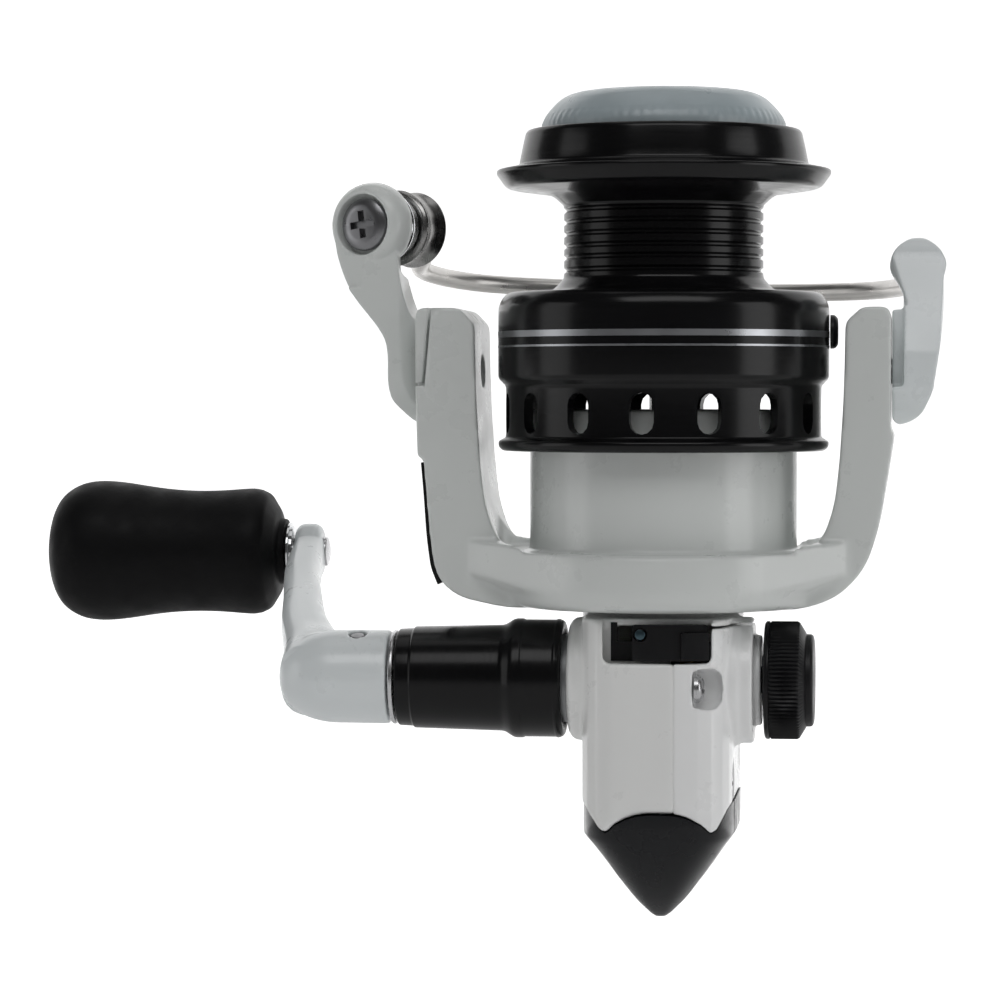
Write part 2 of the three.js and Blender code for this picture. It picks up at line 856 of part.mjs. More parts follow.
// Right arm: flat against the rotor arm, with a rounded head that leans in over the wire's socket.
const rightFront = [
  [33.7, 35.9],
  [32.9, 37.5],
  [32.8, 52.6],
  [33.8, 54.6],
  [33.2, 55.8],
  [31.95, 57.6],
  [32.1, 59.4],
  [33, 61],
  [34.9, 62.4],
  [37.1, 62.4],
  [39.2, 60.8],
  [40.1, 59],
  [40.2, 57.4],
  [39.8, 55.6],
  [39.7, 52],
  [39.3, 48],
  [38.7, 44.5],
  [38.3, 41],
  [37.6, 38.8],
  [36.3, 37.1],
].map(([x, z]) => new THREE.Vector2(x, z));
const rightSide = wrapped(
  discPoints(new THREE.Vector3(36, 0, BAIL_PIVOT_Z), X_AXIS, 7.4, 8, 24),
  discPoints(new THREE.Vector3(36, 2.6, 57.6), X_AXIS, 5, 8, 24),
);
const wireSocket = turnedAlong(rod(1.75, 8.1, 20), new THREE.Vector3(36.8, 0, 57.2), new THREE.Vector3(0, 1, 0), 14);
piece(
  "bail_arm_right",
  cut(
    rightSide.intersect(alongY(rightFront, -20, 20)),
    wireSocket,
    wire,
    alongX(circle(0, BAIL_PIVOT_Z, 2.2), 20, 50),
    alongX(circle(0, BAIL_PIVOT_Z, 3.6, 20), 37.2, 50),
  ),
  PAINT,
);
for (const [name, side, seat] of [
  ["bail_pivot_left", -1, 37.5],
  ["bail_pivot_right", 1, 37.4],
]) {
  const origin = new THREE.Vector3(0, 0, BAIL_PIVOT_Z);
  const direction = new THREE.Vector3(side, 0, 0);
  const screw = turnedAlong(
    [
      [0, 27.4],
      [1.8, 27.4],
      [1.8, seat],
      [3.2, seat],
      [3.2, seat + 0.5],
      [2.4, seat + 1],
      [0, seat + 1],
    ],
    origin,
    direction,
    20,
  );
  const slot = box(-50, 50, -0.35, 0.35, BAIL_PIVOT_Z - 1.6, BAIL_PIVOT_Z + 1.6);
  const slotEnd = side < 0 ? box(-50, -seat - 0.5, -9, 9, 30, 60) : box(seat + 0.5, 50, -9, 9, 30, 60);
  piece(name, screw.subtract(slot.intersect(slotEnd)), STEEL);
}

// ---------------------------------------------------------------- main shaft group
piece(
  "main_shaft",
  turned(
    [
      [0, SHAFT_BOTTOM_Z],
      [SHAFT_RADIUS, SHAFT_BOTTOM_Z],
      [SHAFT_RADIUS, SHAFT_TOP_Z - 0.5],
      [SHAFT_RADIUS - 0.5, SHAFT_TOP_Z],
      [0, SHAFT_TOP_Z],
    ],
    20,
  ),
  STEEL,
);
const sliderZ = OSCILLATION_Z + CRANK_PIN_RADIUS;
piece(
  "slider",
  cut(
    union(
      box(-5.6, 2.9, -3.1, 3.2, sliderZ - 2.2, sliderZ + 2.2),
      box(-5.6, -2.6, -3.1, 15, sliderZ - 2.2, sliderZ + 2.2),
      box(-5.6, 1.1, 5.4, 9, sliderZ - 2.2, sliderZ + 2.2),
    ),
    turned(rod(2.3, -20, 20), 24),
    turned(rod(1.2, -20, 20), 16).translate([-0.6, 7.2, 0]),
    box(-9, -4.2, OSCILLATION_Y - 8, OSCILLATION_Y + 8, sliderZ - 1.3, sliderZ + 1.3),
  ),
  ZINC,
);
piece("click_gear", alongZ(toothed(0, 0, 5.2, 6, 18), 40.5, 42.3).subtract(turned(rod(2.3, 0, 60), 24)), BLACK);

// ---------------------------------------------------------------- spool
const spoolProfile = [
  [SKIRT_BORE, SPOOL_BOTTOM_Z],
  [22.9, SPOOL_BOTTOM_Z],
  [23.5, SPOOL_BOTTOM_Z + 0.6],
  [23.5, 33.6],
  [BAND_RADIUS, 34.1],
  [BAND_RADIUS, 41.3],
  [SKIRT_RADIUS, 42.4],
  [SKIRT_RADIUS, 53],
  [22.7, 54.2],
  [21, 54.7],
  [15.8, 54.7],
  [14.6, 55.2],
  [ARBOR_RADIUS, 56.3],
  [ARBOR_RADIUS, 66.9],
  [14.6, 68],
  [15.8, 68.5],
  [22.35, 69.4],
  [LIP_RADIUS, 71.4],
  [LIP_RADIUS, 71.9],
  [20.65, 72.6],
  [20.2, 75],
  [19.7, 77.2],
  [19.35, SPOOL_TOP_Z],
  [17.8, SPOOL_TOP_Z],
  [17.8, 75.2],
  [16.8, 75.2],
  [16.8, 69.8],
  [2.4, 69.8],
  [2.4, 42.8],
  [7, 42.8],
  [7, 52],
  [SKIRT_BORE, 52],
];
const slotOutline = rounded(
  rectangle(
    -SLOT_WIDTH / 2,
    SLOT_WIDTH / 2,
    SLOT_CENTRE_Z - SLOT_HEIGHT / 2,
    SLOT_CENTRE_Z + SLOT_HEIGHT / 2,
  ),
  SLOT_WIDTH / 2,
  3,
);
const slots = Array.from({ length: SLOT_COUNT }, (_, i) =>
  alongY(slotOutline, -26, -18).rotate([0, 0, 20.3 + (360 * i) / SLOT_COUNT]),
);
piece("spool", cut(turned(spoolProfile, 30), ...slots), BLACK);
piece(
  "line_clip",
  turnedAlong(
    [
      [0, 23.9],
      [2.4, 23.9],
      [2.4, 24.4],
      [1.6, 24.9],
      [0, 24.9],
    ],
    new THREE.Vector3(0, 0, 49),
    X_AXIS,
    16,
  ),
  BLACK,
);
piece("drag_washer_lower", turned(tube(4, 14.5, 70.1, 71), 28), FELT);
piece("drag_washer_middle", turned(tube(4, 15.5, 71.3, 72.1), 28), STEEL);
piece("drag_washer_upper", turned(tube(4, 14.5, 72.4, 73.3), 28), FELT);
piece("drag_retainer", turned(tube(14.2, 16.5, 73.7, 74.5), 32), STEEL);
piece(
  "drag_knob",
  turned(
    [
      [2.4, 75.6],
      [17.1, 75.6],
      [17.3, 78.8],
      [16.8, 79.8],
      [15.5, 81.4],
      [12.2, 83],
      [11.4, 83.2],
      [0, 83.2],
      [0, 81],
      [2.4, 81],
    ],
    32,
  ),
  GREY_PLASTIC,
);

// ---------------------------------------------------------------- drive train
piece(
  "drive_shaft",
  cut(
    aboutDrive(
      [
        [0, -30],
        [2.8, -30],
        [2.8, -14],
        [6.2, -14],
        [6.2, -12.5],
        [2.9, -12.5],
        [2.9, 13.2],
        [0, 13.2],
      ],
      24,
    ),
    aboutDrive(rod(2.2, 5.8, 20), 20),
  ),
  STEEL,
);
const gearTeeth = Array.from({ length: 45 }, (_, i) => {
  const wedge = box(2, 3.75, -0.2, 0.2, 5.8, 8.6);
  return wedge.rotate([(360 * i) / 45, 0, 0]).translate([0, DRIVE_Y, 0]);
});
piece(
  "drive_gear",
  cut(
    aboutDrive(
      [
        [3.2, 3.3],
        [4.6, 3.3],
        [4.6, 4.2],
        [5.9, 4.2],
        [5.9, 3.3],
        [7.6, 3.3],
        [7.6, 5.6],
        [3.2, 5.6],
      ],
      24,
    ),
    ...gearTeeth,
  ),
  BRASS,
);
piece(
  "oscillation_pinion",
  alongX(toothed(DRIVE_Y, 0, 5.9, 6.6, 20), -8.4, -6.6).subtract(aboutDrive(rod(3.2, -20, 20), 24)),
  BRASS,
);
const gearDistance = Math.hypot(OSCILLATION_Y - DRIVE_Y, OSCILLATION_Z);
const oscillationTip = gearDistance - 6.6 - 0.25;
piece(
  "oscillation_gear",
  union(
    alongX(toothed(OSCILLATION_Y, OSCILLATION_Z, oscillationTip - 0.7, oscillationTip, 25), -8.4, -6.9),
    alongX(circle(OSCILLATION_Y, OSCILLATION_Z + CRANK_PIN_RADIUS, 1, 12), -7, -5.9),
  ).subtract(alongX(circle(OSCILLATION_Y, OSCILLATION_Z, 1.5, 16), -10, 0)),
  ZINC,
);

// ---------------------------------------------------------------- handle
piece(
  "handle_sleeve",
  cut(
    aboutDrive([
      [0, -37],
      [6.95, -37],
      [6.95, -34.9],
      [7.2, -34.7],
      [7.52, -21.9],
      [8.5, -20.6],
      [8.5, -14.1],
      [8, -13.4],
      [6.6, -13.4],
      [6.6, -14.3],
      [0, -14.3],
    ]),
    aboutDrive(rod(3.2, -30.3, 0), 24),
  ),
  BLACK,
);
piece("handle_ring", aboutDrive(rod(6.7, -37.9, -37.3), 32), STEEL);

// Crank: rounded sections strung along the arm, from the shank out to the knob.
const CRANK_REACH = Math.hypot(KNOB_Y - DRIVE_Y, KNOB_Z);
const crankOut = new THREE.Vector3(0, KNOB_Y - DRIVE_Y, KNOB_Z).divideScalar(CRANK_REACH);
const crankSide = new THREE.Vector3(0, -crankOut.z, crankOut.y);
function crankSection([x, reach, halfX, halfSide]) {
  return Array.from({ length: 16 }, (_, i) => {
    const a = (2 * Math.PI * i) / 16;
    const c = Math.cos(a);
    const s = Math.sin(a);
    const p = new THREE.Vector3(x + halfX * Math.sign(c) * Math.pow(Math.abs(c), 0.7), DRIVE_Y, 0);
    p.addScaledVector(crankOut, reach);
    return p.addScaledVector(crankSide, halfSide * Math.sign(s) * Math.pow(Math.abs(s), 0.7));
  });
}
const crankStations = [
  [-48.9, -2, 5.2, 5.6],
  [-49.6, 4, 4.9, 5.6],
  [-51.4, 10, 4.1, 5],
  [-53.6, 18, 3.5, 4.6],
  [-55.4, 28, 3.1, 4.2],
  [-57, 38, 2.6, 3.9],
  [-58.1, 47, 2.2, 3.7],
];
const crankBars = crankStations.slice(1).map((to, i) => wrapped(crankSection(crankStations[i]), crankSection(to)));
const crankEye = turnedAlong(
  [
    [0, -60.3],
    [3.6, -60.3],
    [4.4, -59.5],
    [4.4, -56.8],
    [3.6, -56],
    [0, -56],
  ],
  new THREE.Vector3(0, KNOB_Y, KNOB_Z),
  X_AXIS,
  24,
);
const shank = aboutDrive(
  [
    [0, -54.4],
    [2.4, -54.1],
    [4.2, -52.9],
    [5.8, -50.6],
    [6.6, -47.6],
    [6.65, -38.2],
    [0, -38.2],
  ],
  28,
);
piece(
  "crank",
  cut(
    union(shank, ...crankBars, crankEye),
    turnedAlong(rod(2, -80, -40), new THREE.Vector3(0, KNOB_Y, KNOB_Z), X_AXIS, 20),
    turnedAlong(rod(1.3, -20, 20), new THREE.Vector3(-42.8, DRIVE_Y, 0), crankSide, 14),
  ),
  PAINT,
);
piece(
  "fold_pin",
  turnedAlong(rod(1, -6.3, 6.3), new THREE.Vector3(-42.8, DRIVE_Y, 0), crankSide, 14),
  STEEL,
);
const aboutKnob = (profile, segments = 24) =>
  turnedAlong(profile, new THREE.Vector3(0, KNOB_Y, KNOB_Z), X_AXIS, segments);
piece(
  "knob_spindle",
  aboutKnob(
    [
      [0, -95.6],
      [1.7, -95.6],
      [1.7, -55.7],
      [2.25, -55.7],
      [2.25, -55.2],
      [0, -55],
    ],
    20,
  ),
  STEEL,
);
piece("knob_washer", aboutKnob(tube(2, 4.6, -61.4, -60.6), 24), STEEL);
piece(
  "knob",
  aboutKnob([
    [0, -99],
    [4.8, -98.8],
    [8, -97.6],
    [10, -95.4],
    [10.9, -92],
    [10.6, -87.4],
    [9.8, -81.4],
    [9.45, -76.4],
    [9.6, -69.4],
    [9.8, -66.4],
    [9, -64.4],
    [6.4, -62.8],
    [5, -61.7],
    [2.1, -61.7],
    [2.1, -96],
    [0, -96],
  ]),
  RUBBER,
);
piece(
  "cap_screw",
  aboutDrive(
    [
      [0, 6.2],
      [1.9, 6.2],
      [1.9, 14.8],
      [8, 14.8],
      [8.3, 15.1],
      [8.3, 19.7],
      [6.7, 20.6],
      [6.5, 21.7],
      [0, 21.95],
    ],
    28,
  ),
  BLACK,
);

export default group;
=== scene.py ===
import math

import bmesh
import bpy
from mathutils import Matrix, Vector


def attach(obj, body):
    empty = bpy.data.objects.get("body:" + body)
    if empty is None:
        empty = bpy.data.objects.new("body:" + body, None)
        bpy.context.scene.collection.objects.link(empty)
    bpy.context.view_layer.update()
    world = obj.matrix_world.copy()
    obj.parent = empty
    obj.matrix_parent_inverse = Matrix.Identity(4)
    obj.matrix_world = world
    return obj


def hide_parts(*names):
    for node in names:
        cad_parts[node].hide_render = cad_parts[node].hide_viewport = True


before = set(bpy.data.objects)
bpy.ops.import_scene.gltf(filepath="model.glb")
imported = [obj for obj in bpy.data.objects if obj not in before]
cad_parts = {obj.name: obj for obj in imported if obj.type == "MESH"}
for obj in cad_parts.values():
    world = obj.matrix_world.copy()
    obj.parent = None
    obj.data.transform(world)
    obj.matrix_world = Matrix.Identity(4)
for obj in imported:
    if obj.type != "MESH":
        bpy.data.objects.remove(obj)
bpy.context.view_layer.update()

X, Y, Z = Vector((1, 0, 0)), Vector((0, 1, 0)), Vector((0, 0, 1))
SHAFT_TO_FOOT = 62.0  # spool axis to the foot's flat face
DRIVE_Y = -6.5  # handle axis, at Z 0
PIVOT_Z = 43.4  # bail pivots, at Y 0
KNOB_Y, KNOB_Z = 42.6, 15.7  # knob axis with the handle at rest
BULB = Vector((-41.4, -5, 64.2))  # seat of the line roller, at the end of the left bail arm
ROLLER = Vector((0.423, 0.906, -0.024)).normalized()  # line roller's axis
WIRE_RADIUS = 1.38
SLOT_COUNT = 15  # slots round the spool skirt
FIRST_SLOT = 20.3  # bearing of the first slot, in degrees
FOLD_X = -42.8  # fold pin of the crank
REEL_MIDDLE = (0, -0.06, 0.03)  # what the lamps aim at, in metres
FLOOR_Z = -0.13
FLOOR_EDGE = 0.35  # where the plain floor meets the lit sweep
ROW = Matrix.Scale(0.001, 4) @ Matrix.Translation((0, -SHAFT_TO_FOOT, 0))


def at(x, y, z):
    """Place in the row's frame, in metres, of a point given in millimetres."""
    return ROW @ Vector((x, y, z))


# ------------------------------------------------------------------ camera, lights, floor
def make_camera():
    """Stands where the photograph was taken from: half a metre in front, a little to the right."""
    data = bpy.data.cameras.new("camera")
    data.lens = 131.4
    data.sensor_width = 36
    data.clip_start, data.clip_end = 0.01, 50
    camera = bpy.data.objects.new("camera", data)
    bpy.context.scene.collection.objects.link(camera)
    camera.location = at(36.3, -519.7, 39.6)
    look = Vector((-0.1142, 0.9934, -0.0279))
    camera.rotation_euler = look.to_track_quat("-Z", "Y").to_euler()
    bpy.context.scene.camera = camera


def area_light(name, place, size, power):
    """White rectangular lamp aimed at the middle of the reel."""
    data = bpy.data.lights.new(name, "AREA")
    data.shape = "RECTANGLE"
    data.size, data.size_y = size
    data.energy = power
    lamp = bpy.data.objects.new(name, data)
    bpy.context.scene.collection.objects.link(lamp)
    lamp.location = place
    lamp.rotation_euler = (Vector(REEL_MIDDLE) - Vector(place)).to_track_quat("-Z", "Y").to_euler()


def backdrop(name, profile, glow):
    """Pale sheet that follows a (y, z) profile and gives off a little light of its own."""
    verts = [(x, y, z) for y, z in profile for x in (-5.0, 5.0)]
    faces = [(2 * i, 2 * i + 1, 2 * i + 3, 2 * i + 2) for i in range(len(profile) - 1)]
    mesh = bpy.data.meshes.new(name)
    mesh.from_pydata(verts, [], faces)
    mesh.shade_smooth()
    sheet = bpy.data.objects.new(name, mesh)
    bpy.context.scene.collection.objects.link(sheet)
    pale = bpy.data.materials.new(name + "_pale")
    pale.use_nodes = True
    shader = pale.node_tree.nodes["Principled BSDF"]
    shader.inputs["Base Color"].default_value = (0.93, 0.93, 0.93, 1)
    shader.inputs["Roughness"].default_value = 0.9
    shader.inputs["Emission Color"].default_value = (1, 1, 1, 1)
    shader.inputs["Emission Strength"].default_value = glow
    mesh.materials.append(pale)


def make_stage():
    """Dim world, plain floor, bright sweep behind the reel and four soft lamps."""
    world = bpy.data.worlds.new("studio")
    bpy.context.scene.world = world
    world.use_nodes = True
    world.node_tree.nodes["Background"].inputs["Color"].default_value = (1, 1, 1, 1)
    world.node_tree.nodes["Background"].inputs["Strength"].default_value = 0.06
    bend_start, bend_radius, steps = 1.6, 1.2, 12
    sweep = [(FLOOR_EDGE, FLOOR_Z)]
    for i in range(steps + 1):
        a = math.pi / 2 * i / steps
        rise = bend_radius * (1 - math.cos(a))
        sweep.append((bend_start + bend_radius * math.sin(a), FLOOR_Z + rise))
    sweep.append((bend_start + bend_radius, 4.0))
    backdrop("backdrop", sweep, 0.85)
    backdrop("floor", [(-3.0, FLOOR_Z), (FLOOR_EDGE, FLOOR_Z)], 0.06)
    area_light("key", (-0.95, -0.30, 0.06), (0.45, 0.9), 1.3)
    area_light("fill", (0.92, -0.36, 0.08), (0.45, 0.9), 2.3)
    area_light("front", (0.10, -0.85, 0.95), (1.2, 0.5), 4.3)
    area_light("top", (0.0, 0.05, 0.85), (0.7, 0.5), 0.8)
    bpy.context.scene.view_settings.view_transform = "Standard"


# ------------------------------------------------------------------ materials
def material(name, colour, roughness, metallic=0.0, coat=0.0, coat_roughness=0.1, specular=0.5):
    """Plain shader with every value set as a constant."""
    mat = bpy.data.materials.new(name)
    mat.use_nodes = True
    shader = mat.node_tree.nodes["Principled BSDF"]
    shader.inputs["Base Color"].default_value = (*colour, 1)
    shader.inputs["Roughness"].default_value = roughness
    shader.inputs["Metallic"].default_value = metallic
    shader.inputs["Coat Weight"].default_value = coat
    shader.inputs["Coat Roughness"].default_value = coat_roughness
    shader.inputs["Specular IOR Level"].default_value = specular
    return mat


class Nodes:
    """Short-hand for adding noise, ramps and bumps to one material."""

    def __init__(self, mat):
        self.tree = mat.node_tree
        self.shader = self.tree.nodes["Principled BSDF"]
        self.place = self.tree.nodes.new("ShaderNodeTexCoord").outputs["Object"]
        self.last_bump = None

    def link(self, a, b):
        self.tree.links.new(a, b)

    def scaled(self, scale):
        node = self.tree.nodes.new("ShaderNodeMapping")
        node.inputs["Scale"].default_value = scale
        self.link(self.place, node.inputs["Vector"])
        return node.outputs["Vector"]

    def noise(self, scale, detail=3.0, vector=None, roughness=0.5):
        node = self.tree.nodes.new("ShaderNodeTexNoise")
        node.inputs["Scale"].default_value = scale
        node.inputs["Detail"].default_value = detail
        node.inputs["Roughness"].default_value = roughness
        self.link(vector or self.place, node.inputs["Vector"])
        return node.outputs["Fac"]

    def ramp(self, value, low, high, stops=(0.35, 0.65)):
        node = self.tree.nodes.new("ShaderNodeValToRGB")
        node.color_ramp.elements[0].position = stops[0]
        node.color_ramp.elements[1].position = stops[1]
        node.color_ramp.elements[0].color = (*low, 1) if len(low) == 3 else low
        node.color_ramp.elements[1].color = (*high, 1) if len(high) == 3 else high
        self.link(value, node.inputs["Fac"])
        return node.outputs["Color"]

    def spread(self, value, low, high):
        node = self.tree.nodes.new("ShaderNodeMapRange")
        node.inputs["From Min"].default_value = 0.3
        node.inputs["From Max"].default_value = 0.7
        node.inputs["To Min"].default_value = low
        node.inputs["To Max"].default_value = high
        self.link(value, node.inputs["Value"])
        return node.outputs["Result"]

    def bump(self, height, strength, distance):
        node = self.tree.nodes.new("ShaderNodeBump")
        node.inputs["Strength"].default_value = strength
        node.inputs["Distance"].default_value = distance
        self.link(height, node.inputs["Height"])
        if self.last_bump:
            self.link(self.last_bump, node.inputs["Normal"])
        self.last_bump = node.outputs["Normal"]
        self.link(self.last_bump, self.shader.inputs["Normal"])

    def rough(self, value, low, high):
        self.link(self.spread(value, low, high), self.shader.inputs["Roughness"])

    def colour(self, value, low, high, stops=(0.35, 0.65)):
        self.link(self.ramp(value, low, high, stops), self.shader.inputs["Base Color"])


def painted(name, colour, roughness=0.3):
    """Sprayed gloss paint: faint orange peel, fine flake, slight handling marks."""
    mat = material(name, colour, roughness, coat=0.35, coat_roughness=0.12)
    n = Nodes(mat)
    darker = tuple(c * 0.985 for c in colour)
    n.colour(n.noise(90, 4), darker, colour, (0.3, 0.7))
    n.rough(n.noise(160, 5, roughness=0.65), roughness - 0.07, roughness + 0.1)
    n.bump(n.noise(1400, 2), 0.10, 0.00006)
    n.bump(n.noise(5200, 1), 0.06, 0.00002)
    return mat


def anodised(name, colour, roughness=0.16, axis=(1, 1, 60), specular=0.24):
    """Turned and anodised aluminium: fine rings left by the lathe under a gloss dye."""
    mat = material(
        name,
        colour,
        roughness,
        metallic=0.0,
        coat=0.04,
        coat_roughness=0.12,
        specular=specular,
    )
    n = Nodes(mat)
    rings = n.noise(160, 3, n.scaled(axis))
    n.rough(rings, roughness - 0.03, roughness + 0.05)
    n.colour(n.noise(70, 4), tuple(c * 0.8 for c in colour), tuple(c * 1.25 for c in colour))
    n.bump(n.noise(900, 3, n.scaled(axis)), 0.02, 0.000006)
    return mat


def moulded(name, colour, roughness, grain=2600, depth=0.00004, strength=0.2, coat=0.0, specular=0.5):
    """Moulded plastic or rubber: fine spark-eroded grain, uneven sheen."""
    mat = material(name, colour, roughness, coat=coat, specular=specular)
    n = Nodes(mat)
    n.colour(n.noise(130, 5), tuple(c * 0.94 for c in colour), tuple(min(1, c * 1.05) for c in colour))
    n.rough(n.noise(300, 4), roughness - 0.08, roughness + 0.1)
    n.bump(n.noise(grain, 3), strength, depth)
    return mat


def metal(name, colour, roughness, axis=(1, 1, 1), scale=400):
    """Bare metal with fine tool marks that run across the axis with the largest factor."""
    mat = material(name, colour, roughness, metallic=1.0)
    n = Nodes(mat)
    grain = n.noise(scale, 4, n.scaled(axis))
    n.rough(grain, roughness - 0.04, roughness + 0.06)
    n.colour(n.noise(60, 3), tuple(c * 0.9 for c in colour), tuple(min(1, c * 1.05) for c in colour))
    n.bump(n.noise(2600, 3, n.scaled(axis)), 0.02, 0.000006)
    return mat


ROTOR_PAINT = painted("rotor_paint", (0.72, 0.745, 0.73))
CASE_PAINT = painted("case_paint", (0.87, 0.875, 0.865))
# Brighter copy of the case paint for the side cover: painted light for the side the strong light falls
# on.
CASE_PAINT_LIT_COPY = painted("case_paint_painted_light", (0.93, 0.935, 0.935))
CRANK_PAINT = painted("crank_paint", (0.80, 0.84, 0.85))
SPOOL_BLACK = anodised("spool_black", (0.004, 0.004, 0.0045), 0.2)
SLEEVE_BLACK = anodised("sleeve_black", (0.004, 0.004, 0.0045), 0.22, (24, 1, 1), 0.22)
TAIL_BLACK = moulded(
    "tail_black",
    (0.007, 0.0075, 0.009),
    0.24,
    1800,
    0.00002,
    0.08,
    coat=0.03,
    specular=0.26,
)
RUBBER = moulded("knob_rubber", (0.0045, 0.0045, 0.005), 0.5, 2400, 0.00006, 0.35, specular=0.12)
SATIN_BLACK = moulded("satin_black", (0.006, 0.006, 0.007), 0.38, 2600, 0.00003, 0.15, specular=0.25)
DRAG_GREY = moulded("drag_blue_grey", (0.37, 0.43, 0.455), 0.34, 2200, 0.00003, 0.12, coat=0.15)
STEEL = metal("steel", (0.62, 0.62, 0.62), 0.24, (1, 1, 8))
STEEL_X = metal("steel_turned", (0.60, 0.60, 0.61), 0.26, (10, 1, 1))
ROLLER_STEEL = metal("roller_steel", (0.34, 0.335, 0.33), 0.26, (4, 1, 1))
WIRE_STEEL = metal("wire_steel", (0.60, 0.585, 0.565), 0.3)
BRASS = metal("brass", (0.70, 0.50, 0.22), 0.32, (4, 1, 1))
ZINC = metal("zinc", (0.40, 0.41, 0.42), 0.48)
BAND = metal("silver_band", (0.42, 0.43, 0.45), 0.3)
DARK_STEEL = metal("dark_steel", (0.26, 0.26, 0.27), 0.3, (1, 1, 1), 900)
CHROME = metal("bright_steel", (0.72, 0.73, 0.74), 0.12, (1, 1, 1), 500)
BLUED = metal("blued_steel", (0.07, 0.11, 0.13), 0.3)
FELT = moulded("felt", (0.17, 0.16, 0.14), 0.9, 900, 0.0002, 0.6)


# ------------------------------------------------------------------ mesh helpers, in millimetres
def object_from(bm, name):
    """Object made of a finished bmesh, with its faces turned outwards."""
    mesh = bpy.data.meshes.new(name)
    bmesh.ops.recalc_face_normals(bm, faces=bm.faces)
    bm.to_mesh(mesh)
    bm.free()
    obj = bpy.data.objects.new(name, mesh)
    bpy.context.scene.collection.objects.link(obj)
    return obj


def filleted(points, steps=4, closed=False):
    """Outline with rounded corners: each point is (a, b) or (a, b, fillet reach)."""
    out = []
    count = len(points)
    for i, point in enumerate(points):
        reach = point[2] if len(point) > 2 else 0
        here = Vector(point[:2])
        if reach <= 0 or (not closed and i in (0, count - 1)):
            out.append(here)
            continue
        back = Vector(points[i - 1][:2]) - here
        on = Vector(points[(i + 1) % count][:2]) - here
        size = min(reach, back.length * 0.49, on.length * 0.49)
        start, end = here + back.normalized() * size, here + on.normalized() * size
        for k in range(steps + 1):
            t = k / steps
            out.append((1 - t) ** 2 * start + 2 * t * (1 - t) * here + t * t * end)
    return out


def raised(bm, low, high):
    """Faces of a closed body between two loops of the same length."""
    bm.faces.new(low)
    bm.faces.new(high[::-1])
    for i in range(len(low)):
        j = (i + 1) % len(low)
        bm.faces.new((low[i], high[i], high[j], low[j]))


def skinned(name, rings):
    """Closed body whose skin runs over a row of rings, each a list of places."""
    bm = bmesh.new()
    loops = [[bm.verts.new(p) for p in ring] for ring in rings]
    for low, high in zip(loops, loops[1:]):
        for i in range(len(low)):
            j = (i + 1) % len(low)
            bm.faces.new((low[i], low[j], high[j], high[i]))
    bm.faces.new(loops[0])
    bm.faces.new(loops[-1][::-1])
    return object_from(bm, name)


def lathe(name, points, origin=(0, 0, 0), axis=Z, segments=96, ripple=None, closed=False):
    """Turned body; ripple = (count, depth, from, to) cuts fine ribs between two stations."""
    profile = filleted(points)
    turn = Z.rotation_difference(Vector(axis))
    origin = Vector(origin)
    bm = bmesh.new()
    rings = []
    for r, s in profile:
        if r < 1e-6:
            rings.append([bm.verts.new(origin + turn @ Vector((0, 0, s)))])
            continue
        ring = []
        for i in range(segments):
            a = 2 * math.pi * i / segments
            radius = r
            if ripple and ripple[2] <= s <= ripple[3]:
                radius -= ripple[1] * (0.5 - 0.5 * math.cos(ripple[0] * a))
            spot = Vector((radius * math.cos(a), radius * math.sin(a), s))
            ring.append(bm.verts.new(origin + turn @ spot))
        rings.append(ring)
    pairs = list(zip(rings, rings[1:]))
    if closed:
        pairs.append((rings[-1], rings[0]))
    for low, high in pairs:
        for i in range(segments):
            j = (i + 1) % segments
            if len(low) == 1 and len(high) == 1:
                continue
            if len(low) == 1:
                bm.faces.new((low[0], high[i], high[j]))
            elif len(high) == 1:
                bm.faces.new((low[i], low[j], high[0]))
            else:
                bm.faces.new((low[i], low[j], high[j], high[i]))
    return object_from(bm, name)


def prism(name, outline, axis, start, end, bevel=0.0, steps=5):
    """Outline raised along an axis: (y, z) along X, (x, z) along Y, (x, y) along Z."""
    flat = filleted(outline, steps, closed=True)
    bm = bmesh.new()

    def point(p, s):
        if axis == "X":
            return (s, p[0], p[1])
        if axis == "Y":
            return (p[0], s, p[1])
        return (p[0], p[1], s)

    low = [bm.verts.new(point(p, start)) for p in flat]
    high = [bm.verts.new(point(p, end)) for p in flat]
    raised(bm, low, high)
    if bevel > 0:
        rims = [e for e in bm.edges if (e.verts[0] in low) == (e.verts[1] in low)]
        bmesh.ops.bevel(
            bm,
            geom=rims,
            offset=bevel,
            segments=4,
            profile=0.5,
            affect="EDGES",
            clamp_overlap=True,
        )
    return object_from(bm, name)


def hull(name, *clouds):
    """Convex body round clouds of points."""
    bm = bmesh.new()
    for cloud in clouds:
        for p in cloud:
            bm.verts.new(p)
    result = bmesh.ops.convex_hull(bm, input=bm.verts)
    inside = {g for g in result["geom_interior"] if isinstance(g, bmesh.types.BMVert)}
    bmesh.ops.delete(bm, geom=list(inside), context="VERTS")
    return object_from(bm, name)


def disc(centre, axis, radius, half, count=32):
    """Two rings of points, the rims of a short round body."""
    axis = Vector(axis).normalized()
    side = axis.orthogonal().normalized()
    up = axis.cross(side)
    centre = Vector(centre)
    points = []
    for end in (-half, half):
        for i in range(count):
            a = 2 * math.pi * i / count
            level = centre + axis * end
            points.append(level + side * (radius * math.cos(a)) + up * (radius * math.sin(a)))
    return points


def applied(obj):
    """Replaces an object's mesh with what its modifiers make of it."""
    graph = bpy.context.evaluated_depsgraph_get()
    mesh = bpy.data.meshes.new_from_object(obj.evaluated_get(graph))
    obj.modifiers.clear()
    old = obj.data
    obj.data = mesh
    bpy.data.meshes.remove(old)
    return obj


def boolean(obj, kind, *others):
    """Works the other shapes into the first, one after another, and removes them."""
    for other in others:
        step = obj.modifiers.new("step", "BOOLEAN")
        step.operation = kind
        step.solver = "MANIFOLD"
        step.object = other
        applied(obj)
        bpy.data.objects.remove(other)
    return obj


